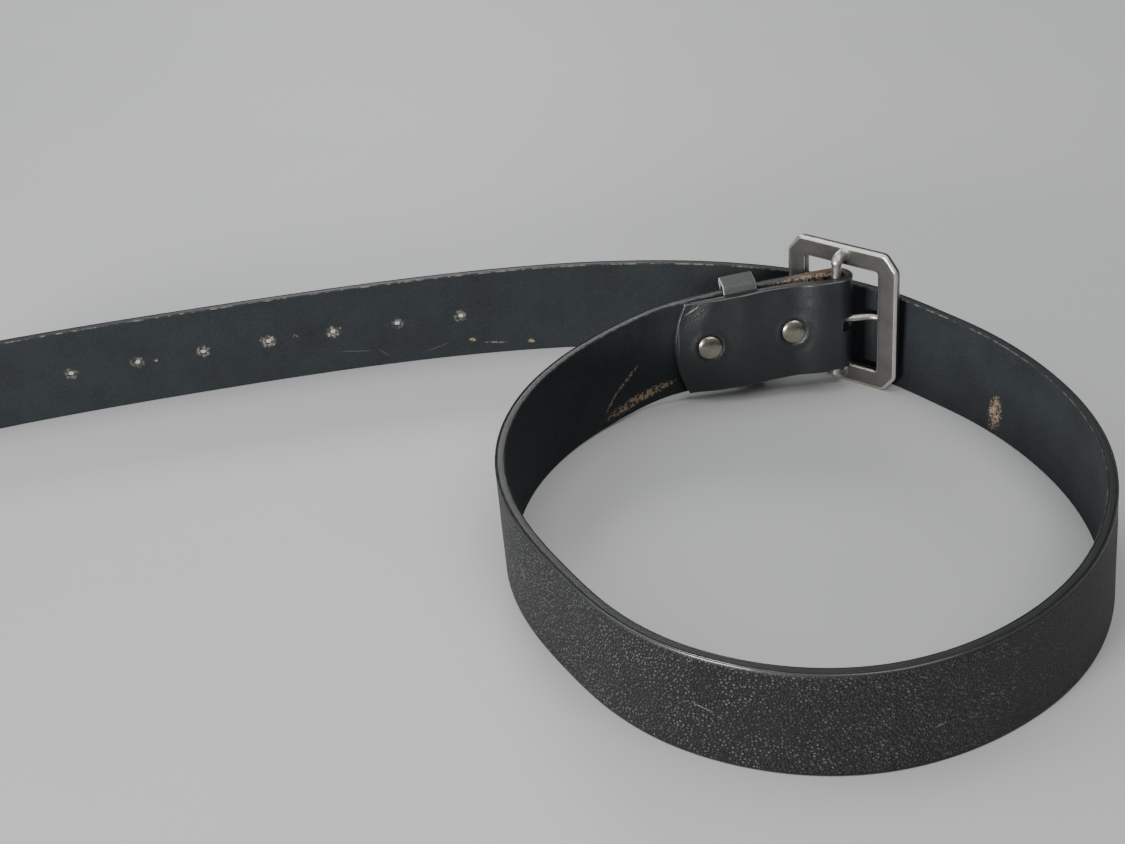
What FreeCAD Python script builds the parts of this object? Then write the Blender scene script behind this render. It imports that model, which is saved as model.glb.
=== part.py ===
# Leather belt standing on its lower edge in an open loop, with a pointed free
# tail, a turned-back buckle end, a centre-bar buckle with prong, one sliding
# keeper and two rivets.  All lengths in millimetres.
# X runs along the longest extent, Y runs from the front bend to the far run,
# Z is up and z = 0 is the surface the belt stands on.
import FreeCAD, Part
import math, os

V = FreeCAD.Vector
os.makedirs("parts", exist_ok=True)

# ---------------------------------------------------------------- dimensions
STRAP_W = 35.0          # strap width, standing height of the strap
STRAP_T = 3.3           # leather thickness
HOLE_R = 2.0            # punched adjustment holes
HOLE_PITCH = 25.0
HOLE_COUNT = 7
FIRST_HOLE_S = 100.5    # from the tail tip to the first hole, along the strap
TAIL_TIP_R = 18.0       # rounding of the free tail seen square to the strap

BAR_R = 1.7             # buckle bar rod
BORE_R = 1.75           # inside of the turned fold, running on the bar
BAR_X, BAR_Y = 160.20, 77.00   # bar axis, vertical
BLOCK_YAW = 2.9         # direction of the buckle end of the strap, degrees
STRAP_MID_Z = 26.75     # middle of the strap width at the bar
FLAP_LEN = 59.0         # turn-back length from bar axis to the end of the flap
FLAP_END_R = 36.0
SLOT_HALF = 2.1         # prong slot through the fold, half height

FRAME_L = 45.2          # buckle frame, across the bar
FRAME_H = 54.4          # buckle frame, along the bar
FRAME_T = 2.8
FRAME_SIDE = 7.8        # width of the two upright sides
FRAME_RAIL = 7.4        # width of top and bottom rails
FRAME_CUT_L = 4.8       # corner chamfer along the rails
FRAME_CUT_H = 6.0       # corner chamfer along the sides
FRAME_BEVEL = 0.7
FRAME_YAW = -42.0       # direction of the frame's length seen from above
FRAME_OFF = 4.2         # bar axis to the back face of the frame
FRAME_SHIFT = -0.7      # middle of the frame's length from the bar
FOOT_DEPTH = 1.6        # how far the bar's feet are set into the frame

PRONG_R = 1.25
PRONG_EYE_R = 3.4
PRONG_EYE_HALF = 1.4
PRONG_REACH = 20.0      # how far the prong reaches along the frame from the bar
PRONG_STAND = 8.75      # prong axis in front of the bar where it lies over the frame
PRONG_RISE = 42.0       # slope of the prong out of the bar, degrees to the frame
PRONG_BEND_R = 6.0
PRONG_BORE_R = 1.75

RIVET_U = (-46.5, -15.9)   # rivet positions along the strap from the bar
RIVET_HEAD_R = 4.5
RIVET_HEAD_H = 1.5
RIVET_POST_R = 1.5
RIVET_HOLE_R = 1.6
RIVET_SINK = 0.35          # how far each head is pressed into the leather
RIVET_CAP_H = 1.1

KEEPER_W = 12.0         # keeper width along the strap
KEEPER_T = 1.3
KEEPER_U = -32.5        # centre of the keeper from the bar
KEEPER_ROOM = 5.0       # free depth for the tail outside the strap
KEEPER_CLEAR = 0.5      # below the strap
KEEPER_SLACK = 2.0      # above the strap
KEEPER_TILT = 5.4       # the keeper follows the rising strap, degrees

# centreline of the strap in plan, from the tail tip round to the buckle end
PATH = [
    (-222.50, 81.69), (-203.82, 89.10), (-184.74, 95.42), (-165.37, 100.80), (-145.80, 105.37),
    (-126.09, 109.31), (-106.29, 112.79), (-86.44, 115.97), (-66.56, 119.00), (-46.66, 121.82),
    (-26.71, 124.28), (-6.70, 126.26), (13.35, 127.59), (33.45, 128.15), (53.54, 127.78),
    (73.58, 126.25), (93.44, 123.18), (113.10, 118.60), (132.20, 112.00), (150.40, 102.90),
    (167.00, 91.00), (181.30, 76.80), (193.16, 60.49), (203.95, 43.54), (212.43, 25.33),
    (218.30, 6.12), (221.24, -13.74), (220.94, -33.82), (217.26, -53.56), (210.29, -72.39),
    (200.11, -89.69), (186.81, -104.71), (170.68, -116.65), (152.33, -124.76), (132.57, -128.14),
    (112.65, -126.01), (93.95, -118.78), (77.58, -107.20), (64.69, -91.84), (54.85, -74.32),
    (46.38, -56.10), (40.33, -36.96), (37.87, -17.03), (39.21, 2.99), (44.44, 22.37),
    (53.47, 40.29), (65.95, 56.00), (81.41, 68.66), (99.40, 77.20),
]
# offset of the main layer's and the flap's mid-lines from the bar's centre
# plane, by distance from the bar; the turned loop is slack round the bar
LAYER = [(-60.0, 3.35), (-52.0, 4.15), (-44.0, 4.90), (-35.0, 5.10),
         (-25.0, 5.25), (-16.0, 5.35), (-8.0, 5.50), (0.0, 5.60)]
FLAP = [(-61.0, -1.05), (-52.0, -0.12), (-44.0, -0.30), (-35.0, -0.50), (-25.0, -0.65),
        (-20.0, -0.72), (-16.0, -0.90), (-12.5, -1.60), (-9.0, -2.65), (-5.0, -3.30), (0.0, -3.40)]
# height of the strap's lower edge over the surface, by X, near the buckle;
# the buckle is taller than the strap and holds this end up
LIFT = [(-5.0, 0.0), (30.0, 0.0), (55.0, 0.0), (66.0, 0.35), (78.0, 1.1), (90.0, 2.2),
        (103.0, 3.6), (118.0, 5.1), (133.0, 6.6), (147.0, 7.9), (160.0, 9.0), (168.0, 9.3), (173.0, 9.3)]

# ------------------------------------------------------------- plan geometry
a = math.radians(BLOCK_YAW)
O = V(BAR_X, BAR_Y, 0)
U = V(math.cos(a), math.sin(a), 0)       # along the strap, towards the buckle
N = V(-math.sin(a), math.cos(a), 0)      # out of the grain side
Z = V(0, 0, 1)


def blk(u, n, z=0.0):
    return O + U * u + N * n + Z * z


def lift_at(x):
    for (x0, z0), (x1, z1) in zip(LIFT, LIFT[1:]):
        if x0 <= x <= x1:
            return z0 + (z1 - z0) * (x - x0) / (x1 - x0)
    return LIFT[0][1] if x < LIFT[0][0] else LIFT[-1][1]


centre_pts = [V(x, y, 0) for x, y in PATH] + [blk(u, n) for u, n in LAYER[1:]]
centre = Part.BSplineCurve()
centre.interpolate(centre_pts)
end_par = centre.LastParameter
LENGTH = centre.length()


def at(s):
    """point and unit tangent at distance s from the tail tip"""
    p = centre.parameterAtDistance(s, centre.FirstParameter)
    t = centre.tangent(p)[0]
    t.normalize()
    return centre.value(p), t


def side(t):
    """unit normal towards the grain (outer) side"""
    return V(-t.y, t.x, 0)


def offset_points(s0, s1, off, step=14.0):
    n = max(2, int(round((s1 - s0) / step)))
    out = []
    for i in range(n + 1):
        p, t = at(s0 + (s1 - s0) * i / n)
        out.append(p + side(t) * off)
    return out


def spline_edge(pts):
    c = Part.BSplineCurve()
    c.interpolate(pts)
    return c.toShape()


H = STRAP_T / 2.0
JOIN_S = 846.0          # the upright strap hands over to the lifted buckle end

# --------------------------------------------- upright strap, tail to left bend
o1 = offset_points(0.0, JOIN_S, H)
i1 = offset_points(0.0, JOIN_S, -H)
w1 = Part.Wire([spline_edge(o1), Part.makeLine(o1[-1], i1[-1]),
                spline_edge(list(reversed(i1))), Part.makeLine(i1[0], o1[0])])
upright = Part.Face(w1).extrude(V(0, 0, STRAP_W))

# ------------------------------------------------- buckle end, fold and flap
JS = JOIN_S
s_blk = LENGTH
o2 = offset_points(JS, s_blk - 12.0, H, 11.0) + [blk(-6.0, 5.53 + H), blk(0.0, 5.60 + H)]
i2 = offset_points(JS, s_blk - 12.0, -H, 11.0) + [blk(-6.0, 5.53 - H), blk(0.0, 5.60 - H)]
FOLD_N = (LAYER[-1][1] + FLAP[-1][1]) / 2.0      # middle of the turned loop
FOLD_R = (LAYER[-1][1] - FLAP[-1][1]) / 2.0
flap_mid_line = Part.BSplineCurve()
flap_mid_line.interpolate([blk(u, n) for u, n in FLAP])


def flap_face(off):
    """points on a face of the flap, from its free end to the bar"""
    p0_, p1_ = flap_mid_line.FirstParameter, flap_mid_line.LastParameter
    out = []
    for i in range(23):
        p = p0_ + (p1_ - p0_) * i / 22.0
        t = flap_mid_line.tangent(p)[0]
        t.normalize()
        q = flap_mid_line.value(p)
        if i == 22:
            t = U
        out.append(q + V(-t.y, t.x, 0) * off)
    return out


f_out = flap_face(-H)      # seen from inside the loop
f_in = flap_face(H)        # faces the main layer
nose_out = Part.Arc(o2[-1], blk(FOLD_R + H, FOLD_N), f_out[-1]).toShape()
nose_in = Part.Arc(f_in[-1], blk(FOLD_R - H, FOLD_N), i2[-1]).toShape()
w2 = Part.Wire([spline_edge(o2), nose_out, spline_edge(list(reversed(f_out))),
                Part.makeLine(f_out[0], f_in[0]), spline_edge(f_in), nose_in,
                spline_edge(list(reversed(i2))), Part.makeLine(i2[0], o2[0])])
lifted = Part.Face(w2).extrude(V(0, 0, 60.0))

lo = [V(x, -60.0, z) for x, z in LIFT]
hi = [V(x, -60.0, z + STRAP_W) for x, z in LIFT]


def level_spline(pts, back=False):
    # straight where the strap stands flat, smooth where it rises
    rise = spline_edge(list(reversed(pts[2:])) if back else pts[2:])
    if back:
        return [rise, Part.makeLine(pts[2], pts[0])]
    return [Part.makeLine(pts[0], pts[2]), rise]


band = Part.Wire(level_spline(lo) + [Part.makeLine(lo[-1], hi[-1])] + level_spline(hi, True)
                 + [Part.makeLine(hi[0], lo[0])])
band = Part.Face(band).extrude(V(0, 200.0, 0))
lifted = lifted.common(band)

strap = upright.fuse(lifted).removeSplitter()

# ------------------------------------------------ shaping of the strap's ends
p0, t0 = at(0.0)
pc, tc = at(TAIL_TIP_R)
nc = side(tc)
box = Part.makeBox(40.0, 20.0, 60.0, V(-40.0, -10.0, -5.0))
box = box.cut(Part.makeCylinder(TAIL_TIP_R, 20.0, V(0, -10.0, STRAP_W / 2.0), V(0, 1, 0)))
pl = FreeCAD.Placement(pc, FreeCAD.Rotation(V(1, 0, 0), tc))
box.Placement = pl
strap = strap.cut(box)

flap_mid = lift_at(blk(-FLAP_LEN, 0).x) + STRAP_W / 2.0
cut_pts = [V(-62.5, -12.0, -10.0), V(-50.0, -12.0, -10.0), V(-50.0, 2.2, -10.0), V(-54.0, 1.85, -10.0),
           V(-59.0, 1.3, -10.0), V(-62.5, 0.75, -10.0)]
cut = Part.Face(Part.makePolygon(cut_pts + cut_pts[:1])).extrude(V(0, 0, 80.0))
cut = cut.cut(Part.makeCylinder(FLAP_END_R, 12.0, V(-FLAP_LEN + FLAP_END_R, -12.0, flap_mid), V(0, 1, 0)))
blk_pl = FreeCAD.Placement(O, FreeCAD.Rotation(Z, BLOCK_YAW))
cut.Placement = blk_pl
strap = strap.cut(cut)

# ----------------------------------------------------------- punched holes
for k in range(HOLE_COUNT):
    p, t = at(FIRST_HOLE_S + k * HOLE_PITCH)
    n = side(t)
    strap = strap.cut(Part.makeCylinder(HOLE_R, 12.0, p - n * 6.0 + Z * (STRAP_W / 2.0), n))

# ------------------------------------------------------------- prong slot
mid = STRAP_MID_Z
strap = strap.cut(Part.makeCylinder(PRONG_EYE_R + 0.35, 2 * SLOT_HALF - 0.4, O + Z * (mid - SLOT_HALF + 0.2), Z))
sl = Part.makeBox(12.0, 20.0, 2 * SLOT_HALF, V(0.9, -10.0, mid - SLOT_HALF))
sl.Placement = blk_pl
strap = strap.cut(sl)

# ------------------------------------------------------------------ rivets
rivets = []


def dome(r, edge, h):
    """low domed disc on z = 0, turned about Z"""
    rs = (r * r + (h - edge) ** 2) / (2 * (h - edge))
    m = math.asin(r / rs) / 2.0
    mid_pt = V(rs * math.sin(m), 0, h - rs + rs * math.cos(m))
    w = Part.Wire([Part.makeLine(V(0, 0, 0), V(r, 0, 0)), Part.makeLine(V(r, 0, 0), V(r, 0, edge)),
                   Part.Arc(V(r, 0, edge), mid_pt, V(0, 0, h)).toShape(), Part.makeLine(V(0, 0, h), V(0, 0, 0))])
    return Part.Face(w).revolve(V(0, 0, 0), V(0, 0, 1), 360)


def placed(shape, pos, axis):
    shape.Placement = FreeCAD.Placement(pos, FreeCAD.Rotation(V(0, 0, 1), axis))
    return shape


def along(table, u):
    for (u0, n0), (u1, n1) in zip(table, table[1:]):
        if u0 <= u <= u1:
            return n0 + (n1 - n0) * (u - u0) / (u1 - u0)


for u in RIVET_U:
    n_in = along(FLAP, u) - H      # face seen from inside the loop
    n_out = along(LAYER, u) + H    # grain face of the main layer
    zc = lift_at(blk(u, 0).x) + STRAP_W / 2.0
    c = blk(u, 0, zc)
    seat_in = n_in + RIVET_SINK
    seat_out = n_out - RIVET_SINK
    strap = strap.cut(Part.makeCylinder(RIVET_HOLE_R, 24.0, c - N * 12.0, N))
    strap = strap.cut(Part.makeCylinder(RIVET_HEAD_R + 0.1, 5.0, c + N * (seat_in - 5.0), N))
    strap = strap.cut(Part.makeCylinder(RIVET_HEAD_R + 0.1, 5.0, c + N * seat_out, N))
    # domed head with its post
    head = placed(dome(RIVET_HEAD_R, 0.5, RIVET_HEAD_H), c + N * (seat_in - 0.02), N * -1)
    post_end = seat_out + 0.55
    post = Part.makeCylinder(RIVET_POST_R, post_end - seat_in + 0.2, c + N * (seat_in - 0.2), N)
    head = head.fuse(post).removeSplitter()
    # low cap closed over the post on the grain side
    cap = placed(dome(RIVET_HEAD_R, 0.4, RIVET_CAP_H), c + N * (seat_out + 0.02), N)
    cap = cap.cut(Part.makeCylinder(RIVET_POST_R, 1.0, c + N * (seat_out - 0.45), N))
    rivets.append((head, cap))

# ------------------------------------------------------------ buckle frame
fa = math.radians(FRAME_YAW)
FU = V(math.cos(fa), math.sin(fa), 0)
FN = V(-math.sin(fa), math.cos(fa), 0)       # front of the buckle
fl, fh = FRAME_L / 2.0, FRAME_H / 2.0
cl, ch = FRAME_CUT_L, FRAME_CUT_H


def fr(l, d, z):
    return O + FU * (l + FRAME_SHIFT) + FN * (FRAME_OFF + d) + Z * z


outl = [(-fl, ch), (-fl, 2 * fh - ch), (-fl + cl, 2 * fh), (fl - cl, 2 * fh), (fl, 2 * fh - ch),
        (fl, ch), (fl - cl, 0), (-fl + cl, 0)]
poly = Part.makePolygon([fr(l, 0, z) for l, z in outl + outl[:1]])
frame = Part.Face(poly).extrude(FN * FRAME_T)
frame = frame.makeChamfer(FRAME_BEVEL, [e for e in frame.Edges
                                        if abs((e.CenterOfMass - O).dot(FN) - FRAME_OFF) < 1e-6
                                        or abs((e.CenterOfMass - O).dot(FN) - FRAME_OFF - FRAME_T) < 1e-6])
wl, wh = fl - FRAME_SIDE, fh - FRAME_RAIL
wpts = [(-wl, fh - wh), (wl, fh - wh), (wl, fh + wh), (-wl, fh + wh), (-wl, fh - wh)]
win = Part.Face(Part.makePolygon([fr(l, -2, z) for l, z in wpts])).extrude(FN * (FRAME_T + 4))
frame = frame.cut(win)
# small bevel round the window on the back
b = 0.5
w0 = Part.makePolygon([fr(l + (b if l > 0 else -b) * 1.5, -b * 0.5, z + (b if z > fh else -b) * 1.5) for l, z in wpts])
w1_ = Part.makePolygon([fr(l, b, z) for l, z in wpts])
frame = frame.cut(Part.makeLoft([w0, w1_], True, True))
# sockets for the bar's feet
foot_lo, foot_hi = FRAME_RAIL / 2.0, FRAME_H - FRAME_RAIL / 2.0
for zz in (foot_lo, foot_hi):
    frame = frame.cut(Part.makeCylinder(BAR_R, FOOT_DEPTH + 1.0, O + FN * (FRAME_OFF - 1.0) + Z * zz, FN))

# -------------------------------------------------------------- buckle bar
ELBOW_R = 2.1
reach = FRAME_OFF + FOOT_DEPTH
k45 = ELBOW_R * (1 - math.sqrt(0.5))
bp = [(reach, foot_lo), (ELBOW_R, foot_lo), (0.0, foot_lo + ELBOW_R),
      (0.0, foot_hi - ELBOW_R), (ELBOW_R, foot_hi), (reach, foot_hi)]
bv = [O + FN * d + Z * z for d, z in bp]
mid_lo = O + FN * k45 + Z * (foot_lo + k45)
mid_hi = O + FN * k45 + Z * (foot_hi - k45)
path = Part.Wire([Part.makeLine(bv[0], bv[1]), Part.Arc(bv[1], mid_lo, bv[2]).toShape(),
                  Part.makeLine(bv[2], bv[3]), Part.Arc(bv[3], mid_hi, bv[4]).toShape(),
                  Part.makeLine(bv[4], bv[5])])
bar = path.makePipeShell([Part.Wire(Part.makeCircle(BAR_R, bv[0], FN * -1))], True, False)

# ------------------------------------------------------------ buckle prong
# it leaves the bar through the slot, passes the window and bends to lie along
# the front of the frame's far side
pr = math.radians(PRONG_RISE)
PD = FU * math.cos(pr) + FN * math.sin(pr)
corner = O + PD * (PRONG_STAND / math.sin(pr)) + Z * mid
tl = PRONG_BEND_R * math.tan(pr / 2.0)
pa_, pb_ = corner - PD * tl, corner + FU * tl
cen = pb_ - FN * PRONG_BEND_R
bis = (corner - cen)
bis.normalize()
p_start = O + PD * 2.2 + Z * mid
tip_at = corner + FU * (PRONG_REACH - (corner - O).dot(FU))
spine = Part.Wire([Part.makeLine(p_start, pa_), Part.Arc(pa_, cen + bis * PRONG_BEND_R, pb_).toShape(),
                   Part.makeLine(pb_, tip_at - FU * 1.6)])
ring = Part.Wire(Part.makeCircle(PRONG_R, p_start, PD))
rod = spine.makePipeShell([ring], True, False)
tip = Part.makeCone(PRONG_R, PRONG_R * 0.5, 1.6, tip_at - FU * 1.6, FU)
eye = Part.makeCylinder(PRONG_EYE_R, 2 * PRONG_EYE_HALF, O + Z * (mid - PRONG_EYE_HALF), Z)
prong = eye.fuse(rod).fuse(tip).removeSplitter()
prong = prong.cut(Part.makeCylinder(PRONG_BORE_R, 10.0, O + Z * (mid - 5.0), Z))

# ------------------------------------------------------------------ keeper
k_mid = (along(LAYER, KEEPER_U) + along(FLAP, KEEPER_U)) / 2.0
k_in = k_mid - KEEPER_T / 2.0                     # inner run lies between the layers
k_out = along(LAYER, KEEPER_U) + H + KEEPER_ROOM   # inside of the outer run
kh = STRAP_W / 2.0 + KEEPER_CLEAR
k_room = kh + STRAP_W / 2.0 + KEEPER_SLACK         # inside height
outer = Part.makeBox(KEEPER_W, k_out + KEEPER_T - k_in, k_room + 2 * KEEPER_T,
                     V(-KEEPER_W / 2.0, k_in, -(kh + KEEPER_T)))
vert = [e for e in outer.Edges if abs(e.BoundBox.XLength - KEEPER_W) < 1e-6]
outer = outer.makeFillet(1.2, [e for e in vert if e.CenterOfMass.y > k_mid + 1.5])
inner = Part.makeBox(KEEPER_W + 2, k_out - k_in - KEEPER_T, k_room,
                     V(-KEEPER_W / 2.0 - 1, k_in + KEEPER_T, -kh))
keeper = outer.cut(inner)
kz = lift_at(blk(KEEPER_U, 0).x) + STRAP_W / 2.0
keeper.Placement = FreeCAD.Placement(
    blk(KEEPER_U, 0, kz),
    FreeCAD.Rotation(Z, BLOCK_YAW).multiply(FreeCAD.Rotation(V(0, 1, 0), -KEEPER_TILT)))

# ------------------------------------------------------------------- export
PIECES = [("strap", strap), ("buckle_frame", frame), ("buckle_bar", bar), ("buckle_prong", prong),
          ("keeper_loop", keeper),
          ("rivet_front_head", rivets[0][0]), ("rivet_front_cap", rivets[0][1]),
          ("rivet_rear_head", rivets[1][0]), ("rivet_rear_cap", rivets[1][1])]
for name, shape in PIECES:
    if shape.ShapeType == "Compound" and len(shape.Solids) == 1:
        shape = shape.Solids[0]
    shape.exportStep("parts/%s.step" % name)
    bb = shape.BoundBox
    print("%-18s %-9s solids %d valid %s vol %.1f  x %.2f..%.2f y %.2f..%.2f z %.2f..%.2f faces %d" % (
        name, shape.ShapeType, len(shape.Solids), shape.isValid(), shape.Volume,
        bb.XMin, bb.XMax, bb.YMin, bb.YMax, bb.ZMin, bb.ZMax, len(shape.Faces)))
print("strap length to bar %.1f" % LENGTH)
for s_ in [FIRST_HOLE_S + k * HOLE_PITCH for k in range(HOLE_COUNT)]:
    p, t = at(s_)
    n = side(t)
    print("hole at s %.1f  x %.2f y %.2f  out %.4f %.4f" % (s_, p.x, p.y, n.x, n.y))
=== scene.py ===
import bpy
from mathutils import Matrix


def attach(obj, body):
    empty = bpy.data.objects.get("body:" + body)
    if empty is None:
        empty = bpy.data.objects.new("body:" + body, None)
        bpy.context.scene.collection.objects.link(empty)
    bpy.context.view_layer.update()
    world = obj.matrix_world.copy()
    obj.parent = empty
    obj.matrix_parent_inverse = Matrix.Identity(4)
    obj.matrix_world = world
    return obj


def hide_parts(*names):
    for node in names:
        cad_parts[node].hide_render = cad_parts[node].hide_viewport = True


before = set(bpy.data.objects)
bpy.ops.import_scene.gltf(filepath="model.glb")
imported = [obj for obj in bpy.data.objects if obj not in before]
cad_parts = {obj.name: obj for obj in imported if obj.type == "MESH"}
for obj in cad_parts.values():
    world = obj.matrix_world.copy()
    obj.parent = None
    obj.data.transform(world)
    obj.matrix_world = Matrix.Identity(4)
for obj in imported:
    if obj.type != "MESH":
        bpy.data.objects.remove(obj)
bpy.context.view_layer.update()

import bpy
import math
import numpy as np
from mathutils import Matrix, Vector

MM = 0.001
rng = np.random.default_rng(20)

# ------------------------------------------------------------------ the belt
# the same sizes and centreline as the CAD, in millimetres
W, T = 35.0, 3.3
H = T / 2.0
HOLES = [100.5 + 25.0 * k for k in range(7)]
TIP_R = 18.0
PATH = [
    (-222.50, 81.69), (-203.82, 89.10), (-184.74, 95.42), (-165.37, 100.80), (-145.80, 105.37),
    (-126.09, 109.31), (-106.29, 112.79), (-86.44, 115.97), (-66.56, 119.00), (-46.66, 121.82),
    (-26.71, 124.28), (-6.70, 126.26), (13.35, 127.59), (33.45, 128.15), (53.54, 127.78),
    (73.58, 126.25), (93.44, 123.18), (113.10, 118.60), (132.20, 112.00), (150.40, 102.90),
    (167.00, 91.00), (181.30, 76.80), (193.16, 60.49), (203.95, 43.54), (212.43, 25.33),
    (218.30, 6.12), (221.24, -13.74), (220.94, -33.82), (217.26, -53.56), (210.29, -72.39),
    (200.11, -89.69), (186.81, -104.71), (170.68, -116.65), (152.33, -124.76), (132.57, -128.14),
    (112.65, -126.01), (93.95, -118.78), (77.58, -107.20), (64.69, -91.84), (54.85, -74.32),
    (46.38, -56.10), (40.33, -36.96), (37.87, -17.03), (39.21, 2.99), (44.44, 22.37),
    (53.47, 40.29), (65.95, 56.00), (81.41, 68.66), (99.40, 77.20)]
LAYER = [(-60.0, 3.35), (-52.0, 4.15), (-44.0, 4.90), (-35.0, 5.10),
         (-25.0, 5.25), (-16.0, 5.35), (-8.0, 5.50), (0.0, 5.60)]
FLAPS = [(-61.0, -1.05), (-52.0, -0.12), (-44.0, -0.30), (-35.0, -0.50), (-25.0, -0.65),
         (-20.0, -0.72), (-16.0, -0.90), (-12.5, -1.60), (-9.0, -2.65), (-5.0, -3.30), (0.0, -3.40)]
FOLD_N, FOLD_R = 1.10, 4.50
LIFT = [(55.0, 0.0), (66.0, 0.35), (78.0, 1.1), (90.0, 2.2), (103.0, 3.6), (118.0, 5.1),
        (133.0, 6.6), (147.0, 7.9), (160.0, 9.0), (168.0, 9.3), (173.0, 9.3)]
JOIN_S = 846.0
YAW = math.radians(2.9)
O2 = np.array([160.20, 77.00])
U2 = np.array([math.cos(YAW), math.sin(YAW)])
N2 = np.array([-math.sin(YAW), math.cos(YAW)])
O3 = np.array([160.20, 77.00, 0.0])
U3, N3, Z3 = np.array([*U2, 0.0]), np.array([*N2, 0.0]), np.array([0.0, 0.0, 1.0])
FA = math.radians(-42.0)
FU = np.array([math.cos(FA), math.sin(FA), 0.0])
FN = np.array([-math.sin(FA), math.cos(FA), 0.0])
MID_Z = 26.75


def blk(u, n):
    return O2 + U2 * u + N2 * n


def natural_spline(x, y):
    """second derivatives of the natural cubic through (x, y); y may have columns"""
    x, y = np.asarray(x, float), np.asarray(y, float)
    n = len(x)
    h = np.diff(x)
    A = np.zeros((n, n))
    b = np.zeros_like(y)
    A[0, 0] = A[-1, -1] = 1.0
    for i in range(1, n - 1):
        A[i, i - 1], A[i, i], A[i, i + 1] = h[i - 1], 2 * (h[i - 1] + h[i]), h[i]
        b[i] = 6 * ((y[i + 1] - y[i]) / h[i] - (y[i] - y[i - 1]) / h[i - 1])
    return np.linalg.solve(A, b)


def eval_spline(x, y, m, q):
    x, y = np.asarray(x, float), np.asarray(y, float)
    i = np.clip(np.searchsorted(x, q) - 1, 0, len(x) - 2)
    h = (x[i + 1] - x[i])
    a, b = (x[i + 1] - q) / h, (q - x[i]) / h
    if y.ndim > 1:
        a, b, h = a[:, None], b[:, None], h[:, None]
    return a * y[i] + b * y[i + 1] + ((a ** 3 - a) * m[i] + (b ** 3 - b) * m[i + 1]) * h * h / 6.0


def curve_through(pts, step=0.1):
    pts = np.array(pts, float)
    c = np.concatenate([[0], np.cumsum(np.hypot(*np.diff(pts, axis=0).T))])
    m = natural_spline(c, pts)
    q = np.linspace(0, c[-1], int(c[-1] / step) + 2)
    return eval_spline(c, pts, m, q)


main_xy = curve_through(PATH + [tuple(blk(u, n)) for u, n in LAYER[1:]])
LENGTH = float(np.sum(np.hypot(*np.diff(main_xy, axis=0).T)))
arc = np.linspace(0, math.pi, 120)[1:]
fold_xy = np.array([O2 + N2 * (FOLD_N + FOLD_R * math.cos(a)) + U2 * FOLD_R * math.sin(a) for a in arc])
flap_xy = curve_through([tuple(blk(u, n)) for u, n in reversed(FLAPS)])[1:]
line = np.vstack([main_xy, fold_xy, flap_xy])
line_s = np.concatenate([[0], np.cumsum(np.hypot(*np.diff(line, axis=0).T))])
FOLD_S = float(line_s[len(main_xy) + len(fold_xy) - 1])
END_S = float(line_s[-1])
tang = np.gradient(line, line_s, axis=0)
tang_a = np.unwrap(np.arctan2(tang[:, 1], tang[:, 0]))
lift_x = np.array([p[0] for p in LIFT])
lift_z = np.array([p[1] for p in LIFT])
lift_m = natural_spline(lift_x, lift_z)


def lift_at(x):
    x = np.asarray(x, float)
    q = np.clip(x, lift_x[0], lift_x[-1])
    v = eval_spline(lift_x, lift_z, lift_m, np.atleast_1d(q).ravel()).reshape(np.shape(np.atleast_1d(q)))
    v = np.where(np.atleast_1d(x) <= lift_x[0], 0.0, np.maximum(v, 0.0))
    return v.reshape(np.shape(x)) if np.shape(x) else float(v[0])


# how the real strap leans: (along, outward shift of the top edge, of the bottom edge)
LEAN = [
    (0, .51, -.37), (60, .34, .02), (110, .12, .43), (160, -.3, .59), (210, -.58, .34), (260, -.33, -.12), (310, .08, -.73),
    (380, .08, -1.33), (430, -.11, -1.65), (470, -.14, -1.21), (510, -.17, -.39), (545, -.06, .74), (580, -.46, 1.5),
    (610, -.46, 1.27), (640, -.27, .29), (680, .55, -.12), (720, .58, -.15), (760, .15, .13), (790, -.26, .49),
    (820, -.26, .4), (850, .29, .06), (880, .57, -.38), (910, .81, -.83), (940, .99, -1.2), (970, 1.14, -1.43),
    (1000, 1.28, -1.4), (1015, .85, -.9), (1026, .45, -.45), (1033.6, 0.0, 0.0), (1041, -.45, .45), (1052, -1.1, 1.1),
    (1061, -1.5, 1.5), (1071, -1.9, 1.9), (1086, -1.5, 1.5), (1110, -1.5, 1.5)]
LEAN_X = np.array([k[0] for k in LEAN], float)
LEAN_V = np.array([k[1:] for k in LEAN], float)


LEAN_M = natural_spline(LEAN_X, LEAN_V)


def offset_at(s, w):
    q = np.clip(s, LEAN_X[0], LEAN_X[-1])
    v = eval_spline(LEAN_X, LEAN_V, LEAN_M, np.ravel(q))
    top, bot = v[:, 0].reshape(np.shape(q)), v[:, 1].reshape(np.shape(q))
    return bot + (top - bot) * np.clip(w / W, 0, 1)


def place(s, w, t):
    """strap coordinates (along, across, through) to the row frame, millimetres"""
    s, w, t = np.broadcast_arrays(np.asarray(s, float), np.asarray(w, float), np.asarray(t, float))
    x, y = np.interp(s, line_s, line[:, 0]), np.interp(s, line_s, line[:, 1])
    a = np.interp(s, line_s, tang_a)
    t = t + offset_at(s, w)
    x = x - np.sin(a) * t
    y = y + np.cos(a) * t
    z = w + np.where(s > JOIN_S, lift_at(x), 0.0)
    return np.stack([x, y, z], -1)


def smooth(a, b, x):
    k = np.clip((np.asarray(x, float) - a) / (b - a), 0, 1)
    return k * k * (3 - 2 * k)


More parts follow.
